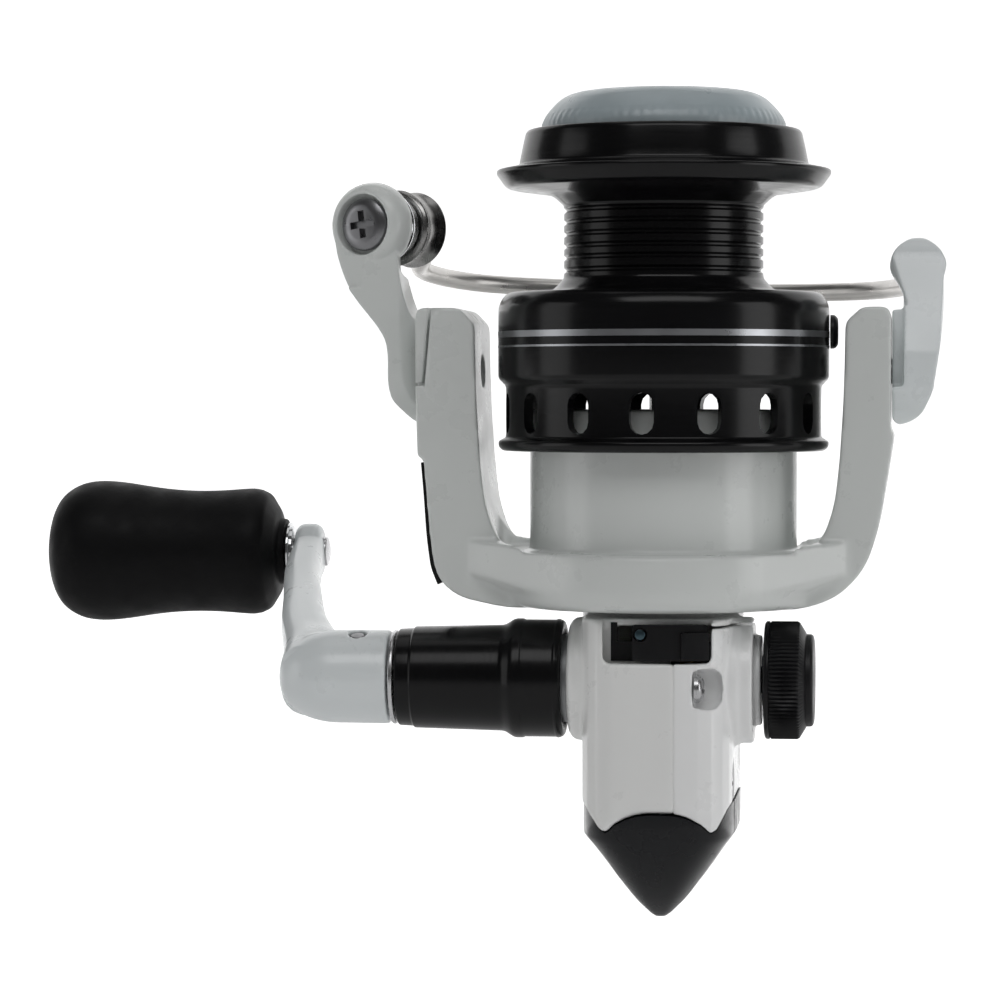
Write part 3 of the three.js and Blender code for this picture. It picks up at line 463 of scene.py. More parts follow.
def join(obj, *others):
    return boolean(obj, "UNION", *others)


def cut(obj, *others):
    return boolean(obj, "DIFFERENCE", *others)


def common(obj, *others):
    return boolean(obj, "INTERSECT", *others)


def cast(obj, voxel=0.3, smooth=6, keep=0.35):
    """Softens a built-up body into one cast or moulded skin with small fillets everywhere."""
    step = obj.modifiers.new("skin", "REMESH")
    step.mode = "VOXEL"
    step.voxel_size = voxel
    step = obj.modifiers.new("soften", "SMOOTH")
    step.factor = 0.5
    step.iterations = smooth
    step = obj.modifiers.new("thin", "DECIMATE")
    step.ratio = keep
    return applied(obj)


def place(obj, body, slot, mat, nodes=(), sharp=35, smooth=True):
    """Moves a finished shape into the row's frame and hands it to its body."""
    obj.data.transform(ROW)
    obj.data.materials.clear()
    obj.data.materials.append(mat)
    if smooth:
        obj.data.shade_smooth()
        if sharp:
            obj.data.set_sharp_from_angle(angle=math.radians(sharp))
    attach(obj, body)
    if nodes:
        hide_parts(*nodes)
    return obj


make_camera()
make_stage()


# ------------------------------------------------------------------ spool and drag knob
def stadium(width, low, high, steps=6):
    """Upright slot outline with round ends."""
    r = width / 2
    out = []
    for i in range(steps + 1):
        a = math.pi * i / steps
        out.append((r * math.cos(a), high - r + r * math.sin(a)))
    for i in range(steps + 1):
        a = math.pi * i / steps
        out.append((-r * math.cos(a), low + r - r * math.sin(a)))
    return out


def make_spool():
    """Spool with its grooved arbor and slotted skirt, the line clip and two plain bands."""
    outline = [
        (20.95, 32.1), (22.9, 32.1, 0.5), (23.5, 32.7, 0.4), (23.5, 33.5, 0.3), (22.45, 34.1, 0.3),
        (22.45, 41.3, 0.4), (23.55, 42.4, 0.5), (23.55, 52.9, 1.4), (22.3, 54.6, 0.8),
        (15.9, 54.7, 1.4), (14.25, 56.6, 1.2),
    ]
    # Grooves of the arbor.
    for z in (57.7, 59.5, 61.1, 62.8, 64.5, 66.2):
        outline += [(14.2, z - 0.42), (13.85, z - 0.12), (13.85, z + 0.12), (14.2, z + 0.42)]
    outline += [
        (14.25, 67.0, 0.8), (15.9, 68.5, 1.0), (22.35, 69.4, 0.7), (23.78, 71.35, 0.45),
        (23.78, 71.95, 0.45), (20.62, 72.6, 0.4), (20.15, 75.0, 1.0), (19.66, 77.2, 0.25),
        (19.3, 77.62, 0.2), (17.85, 77.62, 0.15), (17.85, 75.2), (16.8, 75.2), (16.8, 69.8),
        (2.4, 69.8), (2.4, 42.8), (7, 42.8), (7, 52), (20.95, 52),
    ]
    spool = lathe("spool_shell", outline, segments=180, closed=True)
    bm = bmesh.new()
    for i in range(SLOT_COUNT):
        blade = prism("blade", stadium(3.4, 34.6, 40.35), "Y", -26, -18)
        bearing = math.radians(FIRST_SLOT + 360 / SLOT_COUNT * i)
        blade.data.transform(Matrix.Rotation(bearing, 4, "Z"))
        bm.from_mesh(blade.data)
        bpy.data.objects.remove(blade)
    cut(spool, object_from(bm, "slots"))
    place(spool, "spool", "black_anodised", SPOOL_BLACK, ["spool"], 30)
    clip = [(0, 23.7), (2.4, 23.7), (2.4, 24.35, 0.3), (1.75, 24.85, 0.3), (1.0, 24.6, 0.3), (0, 24.55)]
    place(
        lathe("clip_button", clip, (0, 0, 49), X, 48),
        "spool",
        "black_plastic",
        SATIN_BLACK,
        ["line_clip"],
    )
    # Two plain bands where the real skirt carries its printing.
    for name, z, height in (("skirt_band_wide", 48.6, 0.9), ("skirt_band_fine", 46.9, 0.28)):
        band = [
            (23.5, z - height / 2), (23.585, z - height / 2), (23.585, z + height / 2),
            (23.5, z + height / 2),
        ]
        place(lathe(name, band, segments=180, closed=True), "spool", "steel", BAND)


def make_drag_knob():
    """Low dome with a finely ribbed rim."""
    profile = [
        (0, 80.9), (2.4, 80.9), (2.4, 75.6), (17.0, 75.6), (17.3, 77.0), (17.35, 78.5),
        (16.95, 79.4, 0.3), (16.3, 80.3, 0.4), (15.6, 81.1, 0.4), (14.7, 81.95, 0.5),
        (13.5, 82.62, 0.6), (12.2, 82.95, 0.5), (10.8, 83.1, 0.4), (0, 83.15),
    ]
    knob = lathe("drag_knob_shell", profile, segments=288, ripple=(72, 0.13, 77.2, 79.7))
    place(knob, "drag_knob", "drag_plastic", DRAG_GREY, ["drag_knob"], 40)


make_spool()
make_drag_knob()


# ------------------------------------------------------------------ rotor
def corner_block(low, high):
    """Corners of the block where a rotor arm leaves the base, between two stations along X."""
    return [Vector((x, y, z)) for x in (low, high) for y in (-9.5, 9.5) for z in (15.2, 19.6)]


def make_rotor():
    """Drum, base and two arms cast as one, and the black plate on the left arm."""
    right = [
        (-4, 10.0), (20.0, 10.0, 3), (25.2, 11.9, 2.5), (28.9, 15.9, 2.5), (30.7, 21.3, 3),
        (32.1, 29.6, 3), (32.85, 34.7, 0.3), (32.3, 35.1, 0.3), (32.3, 51.6, 0.7), (31.6, 52.35, 0.5),
        (28.3, 52.35, 0.8), (26.0, 50.2, 0.8), (25.8, 40, 4), (25.2, 30.5, 4), (24.5, 24.5, 2.5),
        (23.0, 20.2, 2.2), (20.5, 17.93, 1), (-4, 17.93),
    ]
    left = [
        (5, 10.0), (-21.6, 10.1, 2), (-28, 11.5, 2), (-30.6, 13.4, 1.5), (-31.75, 16, 1.5),
        (-32.3, 20, 3), (-32.8, 26, 3), (-33.2, 30.9, 0.2), (-34.1, 31.4, 0.3), (-34.35, 38, 3),
        (-34.35, 51.6, 0.6), (-33.8, 52.35, 0.4), (-28.2, 52.35, 0.8), (-26.0, 50.1, 0.8),
        (-25.8, 40, 4), (-25.2, 30.5, 4), (-24.5, 24.5, 2.5), (-23.0, 20.2, 2.2), (-20.5, 17.88, 1),
        (5, 17.88),
    ]
    base = [
        (0, 9.95), (20.0, 9.95, 1.0), (22.5, 10.5, 0.9), (23.15, 12.4, 1.0), (23.15, 18, 0.8),
        (19, 18, 0.3), (19, 38, 0.3), (0, 38),
    ]
    rotor = lathe("rotor_shell", base, segments=120)
    # Room for the spool skirt, between the drum and the arms.
    clearance = [(19.02, 18.06), (24.0, 18.06), (24.0, 60), (19.02, 60)]
    join(
        rotor,
        prism("arm", right, "Y", -9.9, 9.9, 1.2),
        prism("arm", left, "Y", -9.9, 9.9, 1.2),
        hull("web", disc((0, 0, 15.1), Z, 23.0, 2.8, 96), corner_block(23, 27.2)),
        hull("web", disc((0, 0, 15.1), Z, 23.0, 2.8, 96), corner_block(-27.8, -23)),
    )
    cut(
        rotor,
        lathe("bore", [(0, 21), (17.3, 21, 1.2), (17.3, 50), (0, 50)], segments=96),
        lathe("sweep", clearance, segments=120, closed=True),
        lathe("bore", [(0, 0), (13, 0), (13, 19.1, 0.8), (0, 19.1)], segments=72),
        lathe("bore", [(0, 0), (3.6, 0), (3.6, 30), (0, 30)], segments=40),
        lathe("bore", [(0, -50), (2.2, -50), (2.2, -25), (0, -25)], (0, 0, PIVOT_Z), X, 32),
        lathe("bore", [(0, 25), (2.2, 25), (2.2, 50), (0, 50)], (0, 0, PIVOT_Z), X, 32),
    )
    rotor = cast(rotor, 0.34, 7, 0.4)
    line = [(-32.4, 53), (-31.95, 53), (-33.0, 41.4), (-36, 41.15), (-36, 41.55), (-33.45, 41.85)]
    cut(rotor, prism("joint_line", line, "Y", -12, -7.2))
    place(rotor, "rotor", "painted_shell", ROTOR_PAINT, ["rotor"], 0)
    cover = [
        (-33.4, 30.55), (-33.0, 26, 2), (-32.55, 20, 2), (-31.95, 15.9, 1), (-30.95, 13.5),
        (-31.55, 13.15, 0.1), (-32.55, 15.6, 1), (-33.15, 20, 2), (-33.55, 26, 2), (-33.95, 30.5, 0.1),
    ]
    place(
        prism("arm_plate", cover, "Y", -6.95, 6.95, 0.1),
        "rotor",
        "black_plastic",
        SATIN_BLACK,
        ["arm_cover"],
    )


# ------------------------------------------------------------------ bail
def on_roller(name, points, segments=64, **more):
    """Turned body about the line roller's axis."""
    return lathe(name, points, BULB, ROLLER, segments, **more)


def make_left_bail_arm():
    """Arm with the round bulb that carries the line roller."""
    bulb = [
        (0, -2.4), (4.85, -2.4, 0.3), (5.7, -1.5, 0.8), (6.13, 0.1, 0.8), (6.13, 1.4, 0.5),
        (5.6, 2.28, 0.4), (0, 2.28),
    ]
    arm = on_roller("bail_arm_shell", bulb, 72)
    neck = [
        (-38.7, 41.9, 1), (-38.65, 45.5, 1), (-38.9, 47.6, 1), (-39.8, 49.3, 1), (-41.1, 51, 1),
        (-42.6, 52.8, 1), (-44.2, 55, 1), (-45.3, 57.3, 1), (-46.2, 60, 1), (-46.6, 62.5, 1),
        (-46.4, 64.5, 1), (-41, 66), (-37.0, 63, 1), (-37.2, 59.5, 1), (-36.9, 56.4, 1),
        (-36.2, 53.4, 1), (-35.5, 51.4, 1), (-34.55, 50.4, 0.4), (-34.5, 35.9, 0.2), (-35.4, 36.2, 0.6),
        (-37.0, 37.9, 1), (-38.3, 39.4, 1),
    ]
    join(
        arm,
        common(
            hull("neck", disc((-40, 0, PIVOT_Z), X, 7.4, 8), disc((-40, -4.1, 61), X, 3.7, 8)),
            prism("neck_face", neck, "Y", -7.5, 8, 1.1),
        ),
    )
    crease = [
        Vector((x, y, 59.5))
        for x, y in ((-37.4, -7.8), (-37.4, -12), (-34.6, -12), (-34.6, -7.2))
    ]
    crease += [
        Vector((x, y, 37))
        for x, y in ((-36.9, -7.7), (-36.9, -12), (-32.6, -12), (-32.6, -3.6))
    ]
    cut(
        arm,
        on_roller("hole", [(0, -10), (2.2, -10), (2.2, 20), (0, 20)], 32),
        on_roller("hole", [(0, -10), (4.3, -10), (4.3, -0.9, 0.3), (0, -0.9)], 48),
        on_roller("hole", [(0, 2.31), (7.3, 2.31), (7.3, 20), (0, 20)], 48),
        on_roller("hole", [(0, -12), (9, -12), (9, -2.42), (0, -2.42)], 48),
        hull("facet", crease),
        lathe("hole", [(0, -10), (2.2, -10), (2.2, 10), (0, 10)], (-36.7, 0, PIVOT_Z), X, 32),
        lathe("hole", [(0, -10), (3.9, -10), (3.9, -0.6, 0.2), (0, -0.6)], (-36.7, 0, PIVOT_Z), X, 48),
    )
    place(cast(arm, 0.22, 4, 0.45), "bail", "painted_shell", ROTOR_PAINT, ["bail_arm_left"], 0)


def make_line_roller():
    """Cross-headed screw, collar and drum on the roller's axis."""
    head = [
        (0, -2.3), (2.7, -2.25, 0.6), (3.75, -1.75, 0.3), (3.75, -1.2), (1.7, -1.2), (1.7, 12.2),
        (0, 12.2),
    ]
    screw = on_roller("roller_screw_head", head, 48)
    crosses = []
    for angle in (57, 147):
        blade = prism("blade", [(-0.5, -1.95), (0.5, -1.95), (0.5, 1.95), (-0.5, 1.95)], "Z", -5, -1.5)
        turn = Z.rotation_difference(ROLLER).to_matrix().to_4x4()
        twist = Matrix.Rotation(math.radians(angle), 4, "Z")
        blade.data.transform(Matrix.Translation(BULB) @ turn @ twist)
        crosses.append(blade)
    place(cut(screw, *crosses), "bail", "steel", DARK_STEEL, ["roller_screw"], 25)
    washer = [(2, 2.6), (4.9, 2.6, 0.2), (5.35, 3.1, 0.4), (4.5, 5.85, 0.3), (2, 5.85)]
    place(
        on_roller("roller_collar", washer, 64, closed=True),
        "bail",
        "steel",
        CHROME,
        ["roller_washer"],
        30,
    )
    drum = [
        (2, 6.2), (5.0, 6.2, 0.2), (5.55, 6.75, 0.3), (4.75, 8.2, 0.8), (4.75, 9.9, 0.8),
        (5.55, 11.4, 0.3), (5.05, 12, 0.2), (2, 12),
    ]
    place(
        on_roller("roller_drum", drum, 72, closed=True),
        "roller",
        "steel",
        ROLLER_STEEL,
        ["line_roller"],
        40,
    )


def make_bail_wire():
    """Wire bow from the roller's cone round the back to the right arm."""
    start = BULB + ROLLER * 14.2
    way = [
        start, (-35, 11.6, 62.6), (-36.8, 16.5, 60.4), (-37.6, 25, 58.6), (-30.4, 36.5, 57.2),
        (-15, 44, 56.5), (0, 46.5, 56), (15, 44, 55.8), (29, 34.5, 55.8), (36, 20, 56.4),
        (36.8, 9, 57.2),
    ]
    curve = bpy.data.curves.new("wire_path", "CURVE")
    curve.dimensions = "3D"
    spline = curve.splines.new("NURBS")
    points = smooth_path([Vector(p) for p in way], 8)
    spline.points.add(len(points) - 1)
    for point, p in zip(spline.points, points):
        point.co = (*p, 1)
    spline.order_u = 3
    spline.use_endpoint_u = True
    spline.resolution_u = 2
    curve.bevel_depth = WIRE_RADIUS
    curve.bevel_resolution = 5
    curve.use_fill_caps = True
    tube = bpy.data.objects.new("wire_tube", curve)
    bpy.context.scene.collection.objects.link(tube)
    mesh = bpy.data.meshes.new_from_object(tube.evaluated_get(bpy.context.evaluated_depsgraph_get()))
    bpy.data.objects.remove(tube)
    wire = bpy.data.objects.new("bail_wire_bow", mesh)
    bpy.context.scene.collection.objects.link(wire)
    place(wire, "bail", "steel", WIRE_STEEL, ["bail_wire"], 50)
    cone = [
        (0, 12.5), (4.3, 12.5, 0.3), (4.35, 13.2, 0.4), (2.6, 14.9, 0.9), (1.45, 16.2, 0.5), (0, 16.2),
    ]
    place(on_roller("wire_cone", cone, 64), "bail", "steel", CHROME, sharp=40)


def make_right_bail_arm():
    """Faceted arm that holds the wire's other end."""
    face = [
        (33.3, 35.75, 0.5), (32.45, 36.6, 0.4), (32.42, 52.0, 0.3), (34.0, 52.1, 0.1),
        (34.0, 54.2, 0.6), (33.2, 55.8, 0.5), (32.0, 57.6, 0.8), (32.15, 59.4, 0.8), (33, 61, 0.9),
        (34.9, 62.35, 1), (37.1, 62.35, 1), (39.2, 60.7, 1), (40.15, 58.6, 0.9), (39.6, 56.6, 0.8),
        (39.6, 55.6, 0.8), (39.65, 52, 2), (39.3, 48, 2), (38.7, 44.0, 2), (38.1, 40.4, 1),
        (36.6, 37.3, 1), (34.9, 36.2, 0.8),
    ]
    right = common(
        hull("bail_arm_cap", disc((36, 0, PIVOT_Z), X, 7.6, 8), disc((36, 2.6, 57.6), X, 4.95, 8)),
        prism("cap_face", face, "Y", -7.2, 9, 1.2),
    )
    cut(
        right,
        prism("step", [(30, -20), (34.1, -20), (34.1, -4.6), (30, -4.6)], "Z", 41.2, 52.6, 0.6),
        prism("facet", [(30, -20), (35.4, -20), (34.6, -4.6), (31.6, -1.0), (30, -1.0)], "Z", 52.6, 70),
        prism("facet", [(37.2, -20), (45, -20), (45, -1.5), (39.6, -3.2)], "Z", 36, 55.8),
    )
    cut(
        right,
        lathe("hole", [(0, 8.3), (1.75, 8.3), (1.75, 20), (0, 20)], (36.8, 0, 57.2), Y, 32),
        lathe("hole", [(0, 20), (2.2, 20), (2.2, 50), (0, 50)], (0, 0, PIVOT_Z), X, 32),
        lathe("hole", [(0, 37.2), (3.6, 37.2), (3.6, 50), (0, 50)], (0, 0, PIVOT_Z), X, 48),
    )
    place(cast(right, 0.22, 4, 0.45), "bail", "painted_shell", CRANK_PAINT, ["bail_arm_right"], 0)


def make_bail_pivots():
    """Slotted screws that the bail swings on."""
    for name, side, seat in (("bail_pivot_left", -1, 37.5), ("bail_pivot_right", 1, 37.4)):
        body = [
            (0, 27.4), (1.8, 27.4), (1.8, seat), (3.15, seat), (3.15, seat + 0.5, 0.2),
            (2.4, seat + 0.95, 0.3), (0, seat + 0.98),
        ]
        pin = lathe(name + "_head", body, (0, 0, PIVOT_Z), (side, 0, 0), 48)
        ends = sorted((side * (seat + 0.45), side * 50))
        low, high = PIVOT_Z - 1.9, PIVOT_Z + 1.9
        slot = prism("slot", [(-0.4, low), (0.4, low), (0.4, high), (-0.4, high)], "X", *ends)
        place(cut(pin, slot), "bail", "steel", STEEL_X, [name], 30)


def smooth_path(points, per):
    """Catmull-Rom points through a list of places."""
    out = []
    ends = [2 * points[0] - points[1]] + points + [2 * points[-1] - points[-2]]
    for a, b, c, d in zip(ends, ends[1:], ends[2:], ends[3:]):
        for k in range(per):
            t = k / per
            square = 2 * a - 5 * b + 4 * c - d
            cube = 3 * b - a - 3 * c + d
            out.append(0.5 * (2 * b + (c - a) * t + square * t * t + cube * t ** 3))
    out.append(points[-1])
    return out


make_rotor()
make_left_bail_arm()
make_line_roller()
make_bail_wire()
make_right_bail_arm()
make_bail_pivots()


# ------------------------------------------------------------------ gear case, cover, cap, lever
# Name, Y, Z, where along X the head starts, head radius.
COVER_SCREWS = (
    ("cover_screw_front", -17, -0.5, 5.5, 2.0),
    ("cover_screw_rear", 12.6, 5.2, 9, 2.5),
    ("cover_screw_low", -8.5, -14.2, 9, 2.5),
)


def scallop(shift):
    """All that lies below the wavy joint between case and tail cap, moved by a shift along Z."""
    edge = [
        (-14, -16.7), (-10.4, -16.7), (-9.7, -17.2), (-9.1, -18.1), (-7.6, -20.1), (-6.8, -20.5),
        (-6.3, -20.2), (-5.4, -19.3), (-3.9, -18.5), (-2.5, -18.05), (-1.2, -17.85), (0.6, -17.8),
        (2.4, -17.85), (3.7, -18.05), (5.0, -18.5), (6.5, -19.3), (7.4, -20.2), (7.9, -20.5),
        (8.6, -20.1), (9.5, -18.4), (10.0, -17.4), (10.6, -16.7), (14, -16.7),
    ]
    return prism("scallop", [(x, z + shift) for x, z in edge] + [(14, -50), (-14, -50)], "Y", -30, 30)


def case_block():
    """Outer form of the gear case, ending in the wavy joint."""
    plan = [(-10.5, -19, 7), (10.5, -19, 7), (10.5, 16.5, 5), (-10.5, 16.5, 5)]
    side = [(-19, 9, 2.5), (-19, -20, 6), (-14, -30, 3), (8, -30, 3), (16.5, -18.8, 2.5), (16.5, 9, 2)]
    block = common(prism("case", plan, "Z", -30, 9), prism("side", side, "X", -12, 12))
    return cut(block, scallop(0.12))


def boss(side):
    """Round boss about the handle axis: -1 towards the handle, 1 on the side cover."""
    if side < 0:
        profile = [(0, -12.68), (7.8, -12.68, 0.5), (8.7, -11.9, 0.6), (8.7, -9.6), (0, -9.6)]
    else:
        profile = [
            (0, 9.6), (9.2, 9.6), (9.2, 11.2, 0.4), (8.88, 11.5), (8.88, 13.35, 0.4),
            (6.35, 13.38, 0.2), (6.35, 14.45, 0.15), (0, 14.45),
        ]
    return lathe("boss", profile, (0, DRIVE_Y, 0), X, 72)


def case_hollows():
    """What is cut out of case and cover: the inside, window, bearing seats and screw pockets."""
    inner = [(-8.9, -16.8, 2.5), (8.9, -16.8, 2.5), (8.9, 15.4, 2.5), (-8.9, 15.4, 2.5)]
    window = [(-7.15, 2.95, 1.1), (7.85, 2.95, 1.1), (7.85, 12), (-7.15, 12)]
    right_seat = [(0, 8), (6.5, 8), (6.5, 12.5), (3.2, 12.5), (3.2, 20), (0, 20)]
    out = [
        prism("hollow", inner, "Z", -18.2, 8),
        prism("hollow", window, "Y", -30, -15.2),
        lathe("hollow", [(0, -20), (6.5, -20), (6.5, -8), (0, -8)], (0, DRIVE_Y, 0), X, 48),
        lathe("hollow", right_seat, (0, DRIVE_Y, 0), X, 48),
    ]
    for _, y, z, head, _ in COVER_SCREWS[1:]:
        pocket = [(0, head - 0.2), (2.85, head - 0.2), (2.85, 20), (0, 20)]
        out.append(lathe("hollow", pocket, (0, y, z), X, 40))
    return out


def front_scoop():
    """Round scoop that leads a driver to the front cover screw, and the block that backs it."""
    block = common(
        lathe("pillar", [(0, 4.2), (3.6, 4.2), (3.6, 9.3), (0, 9.3)], (0, -17, -0.5), X, 64),
        prism("limit", [(0, -30), (20, -30), (20, -14.3), (0, -14.3)], "Z", -20, 20),
        case_block(),
    )
    bowl = [(0, 5.3), (3.0, 5.3, 0.3), (3.0, 7.3, 0.5), (2.75, 8.4, 0.5), (2.0, 9.2, 0.5), (0, 9.5)]
    scoop = common(
        lathe("scoop", bowl, (0, -17, -0.5), X, 64),
        prism("limit", [(0, -30), (30, -30), (30, -14.8), (0, -14.8)], "Z", -20, 20),
    )
    return block, scoop


def side_panels():
    """Shallow plain panel on each flank, towards the rod."""
    edge = [(1, -14, 2), (12, -14, 2), (12, -4.5, 2), (3.5, -4.5, 2)]
    return [prism("hollow", edge, "X", *sorted((side * 10.25, side * 14))) for side in (-1, 1)]


def make_case():
    """Gear case with its stem, rod foot and neck, and a black plate inside the window that paints the
    shade of the deep recess behind the lever.
    """
    left = join(case_block(), boss(-1), boss(1))
    cut(
        left,
        *case_hollows(),
        *side_panels(),
        prism("half", [(2.53, -30), (20, -30), (20, 14.4), (2.53, 14.4)], "Z", -31, 8.1),
    )
    join(
        left,
        prism("screen", [(-9.2, -15.1), (2.2, -15.1), (2.2, -14.3), (-9.2, -14.3)], "Z", -1, 5.6),
        prism("screen", [(-9.2, -15.1), (-5.5, -15.1), (-5.5, -14.3), (-9.2, -14.3)], "Z", 5.0, 8.6),
        prism("tongue", [(1.8, -18.7), (3.0, -18.7), (3.0, -17.6), (1.8, -17.6)], "Z", -17.4, 2.6),
    )
    stem_side = [
        (15.6, 8, 1), (15.6, -15, 1), (20, -13.5, 3), (34, -7.6, 8), (50, -9.5, 8), (59, -17, 2),
        (59, 17, 2), (52, 10, 8), (36, 7.4, 8), (20, 7.8, 3),
    ]
    foot_plan = [
        (-4.8, -29, 3), (4.8, -29, 3), (8.5, -13, 8), (8.5, 13, 8), (4.8, 29, 3), (-4.8, 29, 3),
        (-8.5, 13, 8), (-8.5, -13, 8),
    ]
    foot_side = [
        (62, -30), (62, 30), (60.6, 30), (59.8, 20, 8), (57.8, 9, 6), (57.8, -9, 6),
        (59.8, -20, 8), (60.6, -30),
    ]
    foot = common(prism("foot", foot_plan, "Y", 54, 62), prism("side", foot_side, "X", -20, 20))
    join(left, prism("stem", stem_side, "X", -3.55, 3.55, 1.6), foot)
    neck = lathe("neck", [(0, 8.2), (11.5, 8.2), (11.5, 18.4, 0.4), (0, 18.4)], segments=96)
    bore = [(0, 0), (3.6, 0), (3.6, 9.3), (7.3, 9.3), (7.3, 13.3), (9.7, 13.3), (9.7, 30), (0, 30)]
    cut(neck, lathe("hollow", bore, segments=64))
    join(left, neck)
    place(cast(left, 0.33, 4, 0.4), "body", "painted_shell", CASE_PAINT, ["housing"], 0)

    # Painted shade: a black plate over most of the white screen darkens the window as the recess's
    # shadow would, leaving a thin white strip at the left for a gradient.
    shade = [(-6.2, 3.15), (7.6, 3.15), (7.6, 5.9), (-5.3, 5.9), (-5.3, 8.5), (-6.2, 8.5)]
    place(
        prism("window_painted_shade", shade, "Y", -15.3, -15.14),
        "body",
        "black_plastic",
        SATIN_BLACK,
        sharp=30,
    )


def make_side_cover():
    """Cover on the cap screw's side, split from the case at the seam."""
    right = join(case_block(), boss(1))
    keep = prism("half", [(2.67, -30), (20, -30), (20, 14.2), (2.67, 14.2)], "Z", -31, 7.8)
    common(right, keep)
    pillar, scoop = front_scoop()
    cut(right, *case_hollows(), *side_panels())
    cut(join(right, pillar), scoop)
    # The cover wears the brighter copy of the case paint, a painted highlight on the lit side.
    place(cast(right, 0.26, 4, 0.4), "body", "painted_shell", CASE_PAINT_LIT_COPY, ["side_cover"], 0)


def make_cover_screws():
    """Cross-headed screws of the side cover."""
    for name, y, z, head, radius in COVER_SCREWS:
        profile = [
            (0, head), (radius - 0.05, head, 0.1), (radius - 0.05, head + 0.75, 0.3),
            (radius - 0.8, head + 1.35, 0.5), (0, head + 1.48),
        ]
        screw = lathe(name + "_head", profile, (0, y, z), X, 48)
        blades = []
        for angle in (12, 102):
            bar = [(-0.33, -1.45), (0.33, -1.45), (0.33, 1.45), (-0.33, 1.45)]
            blade = prism("blade", bar, "X", head + 0.7, head + 3)
            twist = Matrix.Rotation(math.radians(angle), 4, "X")
            blade.data.transform(Matrix.Translation((0, y, z)) @ twist)
            blades.append(blade)
        place(cut(screw, *blades), "body", "steel", STEEL_X, [name], 25)


def make_tail():
    """Domed tapering cap, ribbed where the fingers would meet its sides."""
    # Each row is (z, half width, front, back); its ring is a rounded square, squarer towards the rod.
    rows = [
        (-15.6, 10.75, -19.1, 16.45), (-18.1, 10.77, -19.1, 16.4), (-19.5, 10.78, -19.1, 15.8),
        (-21.4, 10.7, -18.9, 14.5), (-22.2, 10.1, -18.6, 13.9), (-22.9, 9.5, -18.4, 13.4),
        (-24.1, 8.6, -17.9, 12.4), (-25.6, 7.5, -17.0, 11.1), (-27.2, 6.35, -15.9, 9.5),
        (-28.6, 5.3, -14.7, 7.9), (-29.9, 4.3, -13.5, 6.3), (-31.1, 3.3, -12.2, 4.8),
        (-32.1, 2.3, -10.9, 3.6), (-32.8, 1.6, -9.9, 2.2), (-33.25, 1.0, -8.8, 0.9),
        (-33.45, 0.45, -7.4, -0.6),
    ]
    count = 96
    rings = []
    for z, half, front, back in rows:
        lean = 0.24 * min(1, max(0, (-21 - z) / 4))
        ring = []
        for i in range(count):
            a = 2 * math.pi * i / count
            c, s = math.cos(a), math.sin(a)
            power = 0.62 if s < 0 else 0.36
            x = half * math.copysign(abs(c) ** power, c)
            y = (front + back) / 2 + (back - front) / 2 * math.copysign(abs(s) ** power, s)
            ring.append((x + lean, y, z))
        rings.append(ring)
    cap = skinned("tail_cap_shell", rings)
    common(cap, scallop(-0.12))
    ribs = []
    for i in range(4):
        for side in (-1, 1):
            y = -13.4 + 2.6 * i
            edge = [(y, -16), (y + 0.5, -16), (y + 0.5, -22.5), (y, -22.5)]
            ribs.append(prism("rib", edge, "X", *sorted((side * 10.45, side * 12))))
    cut(cap, *ribs)
    place(cap, "body", "tail_plastic", TAIL_BLACK, ["tail_cap"], 40)


def make_lever():
    """Anti-reverse lever in the window: a curved blade on thin sectors, with its rivet."""

    def sector(inner, outer, start, end, steps=14):
        angles = [math.radians(start + (end - start) * k / steps) for k in range(steps + 1)]
        out = [(outer * math.cos(a), outer * math.sin(a)) for a in angles]
        return out + [(inner * math.cos(a), inner * math.sin(a)) for a in angles[::-1]]

    lever = prism("lever_blade", sector(17.25, 18.55, -99.3, -66.6), "Z", 3.35, 8.35, 0.3)
    join(
        lever,
        prism("part", sector(12.3, 17.6, -98, -84), "Z", 6.1, 7.2),
        prism("part", sector(11.9, 12.8, -106, -76), "Z", 6.1, 8.7),
        prism("part", sector(18.2, 19.15, -78.5, -66.6), "Z", 3.4, 7.3, 0.55),
    )
    cut(lever, lathe("hole", [(0, 15), (1.0, 15), (1.0, 25), (0, 25)], (-1.9, 0, 7), -Y, 32))
    place(lever, "anti_reverse", "black_plastic", SATIN_BLACK, ["anti_reverse_lever"], 30)
    pin = [(0, 17.6), (0.72, 17.6), (0.72, 18.75, 0.15), (0, 18.85)]
    place(
        lathe("lever_rivet", pin, (-1.9, 0, 7), -Y, 32),
        "anti_reverse",
        "steel",
        BLUED,
        ["lever_pin"],
        30,
    )


make_case()
make_side_cover()
make_cover_screws()
make_tail()
make_lever()


# ------------------------------------------------------------------ handle
def on_drive(name, points, segments=96, **more):
    """Turned body about the handle axis."""
    return lathe(name, points, (0, DRIVE_Y, 0), X, segments, **more)


def on_knob(name, points, segments=96, **more):
    """Turned body about the knob's axis."""
    return lathe(name, points, (0, KNOB_Y, KNOB_Z), X, segments, **more)


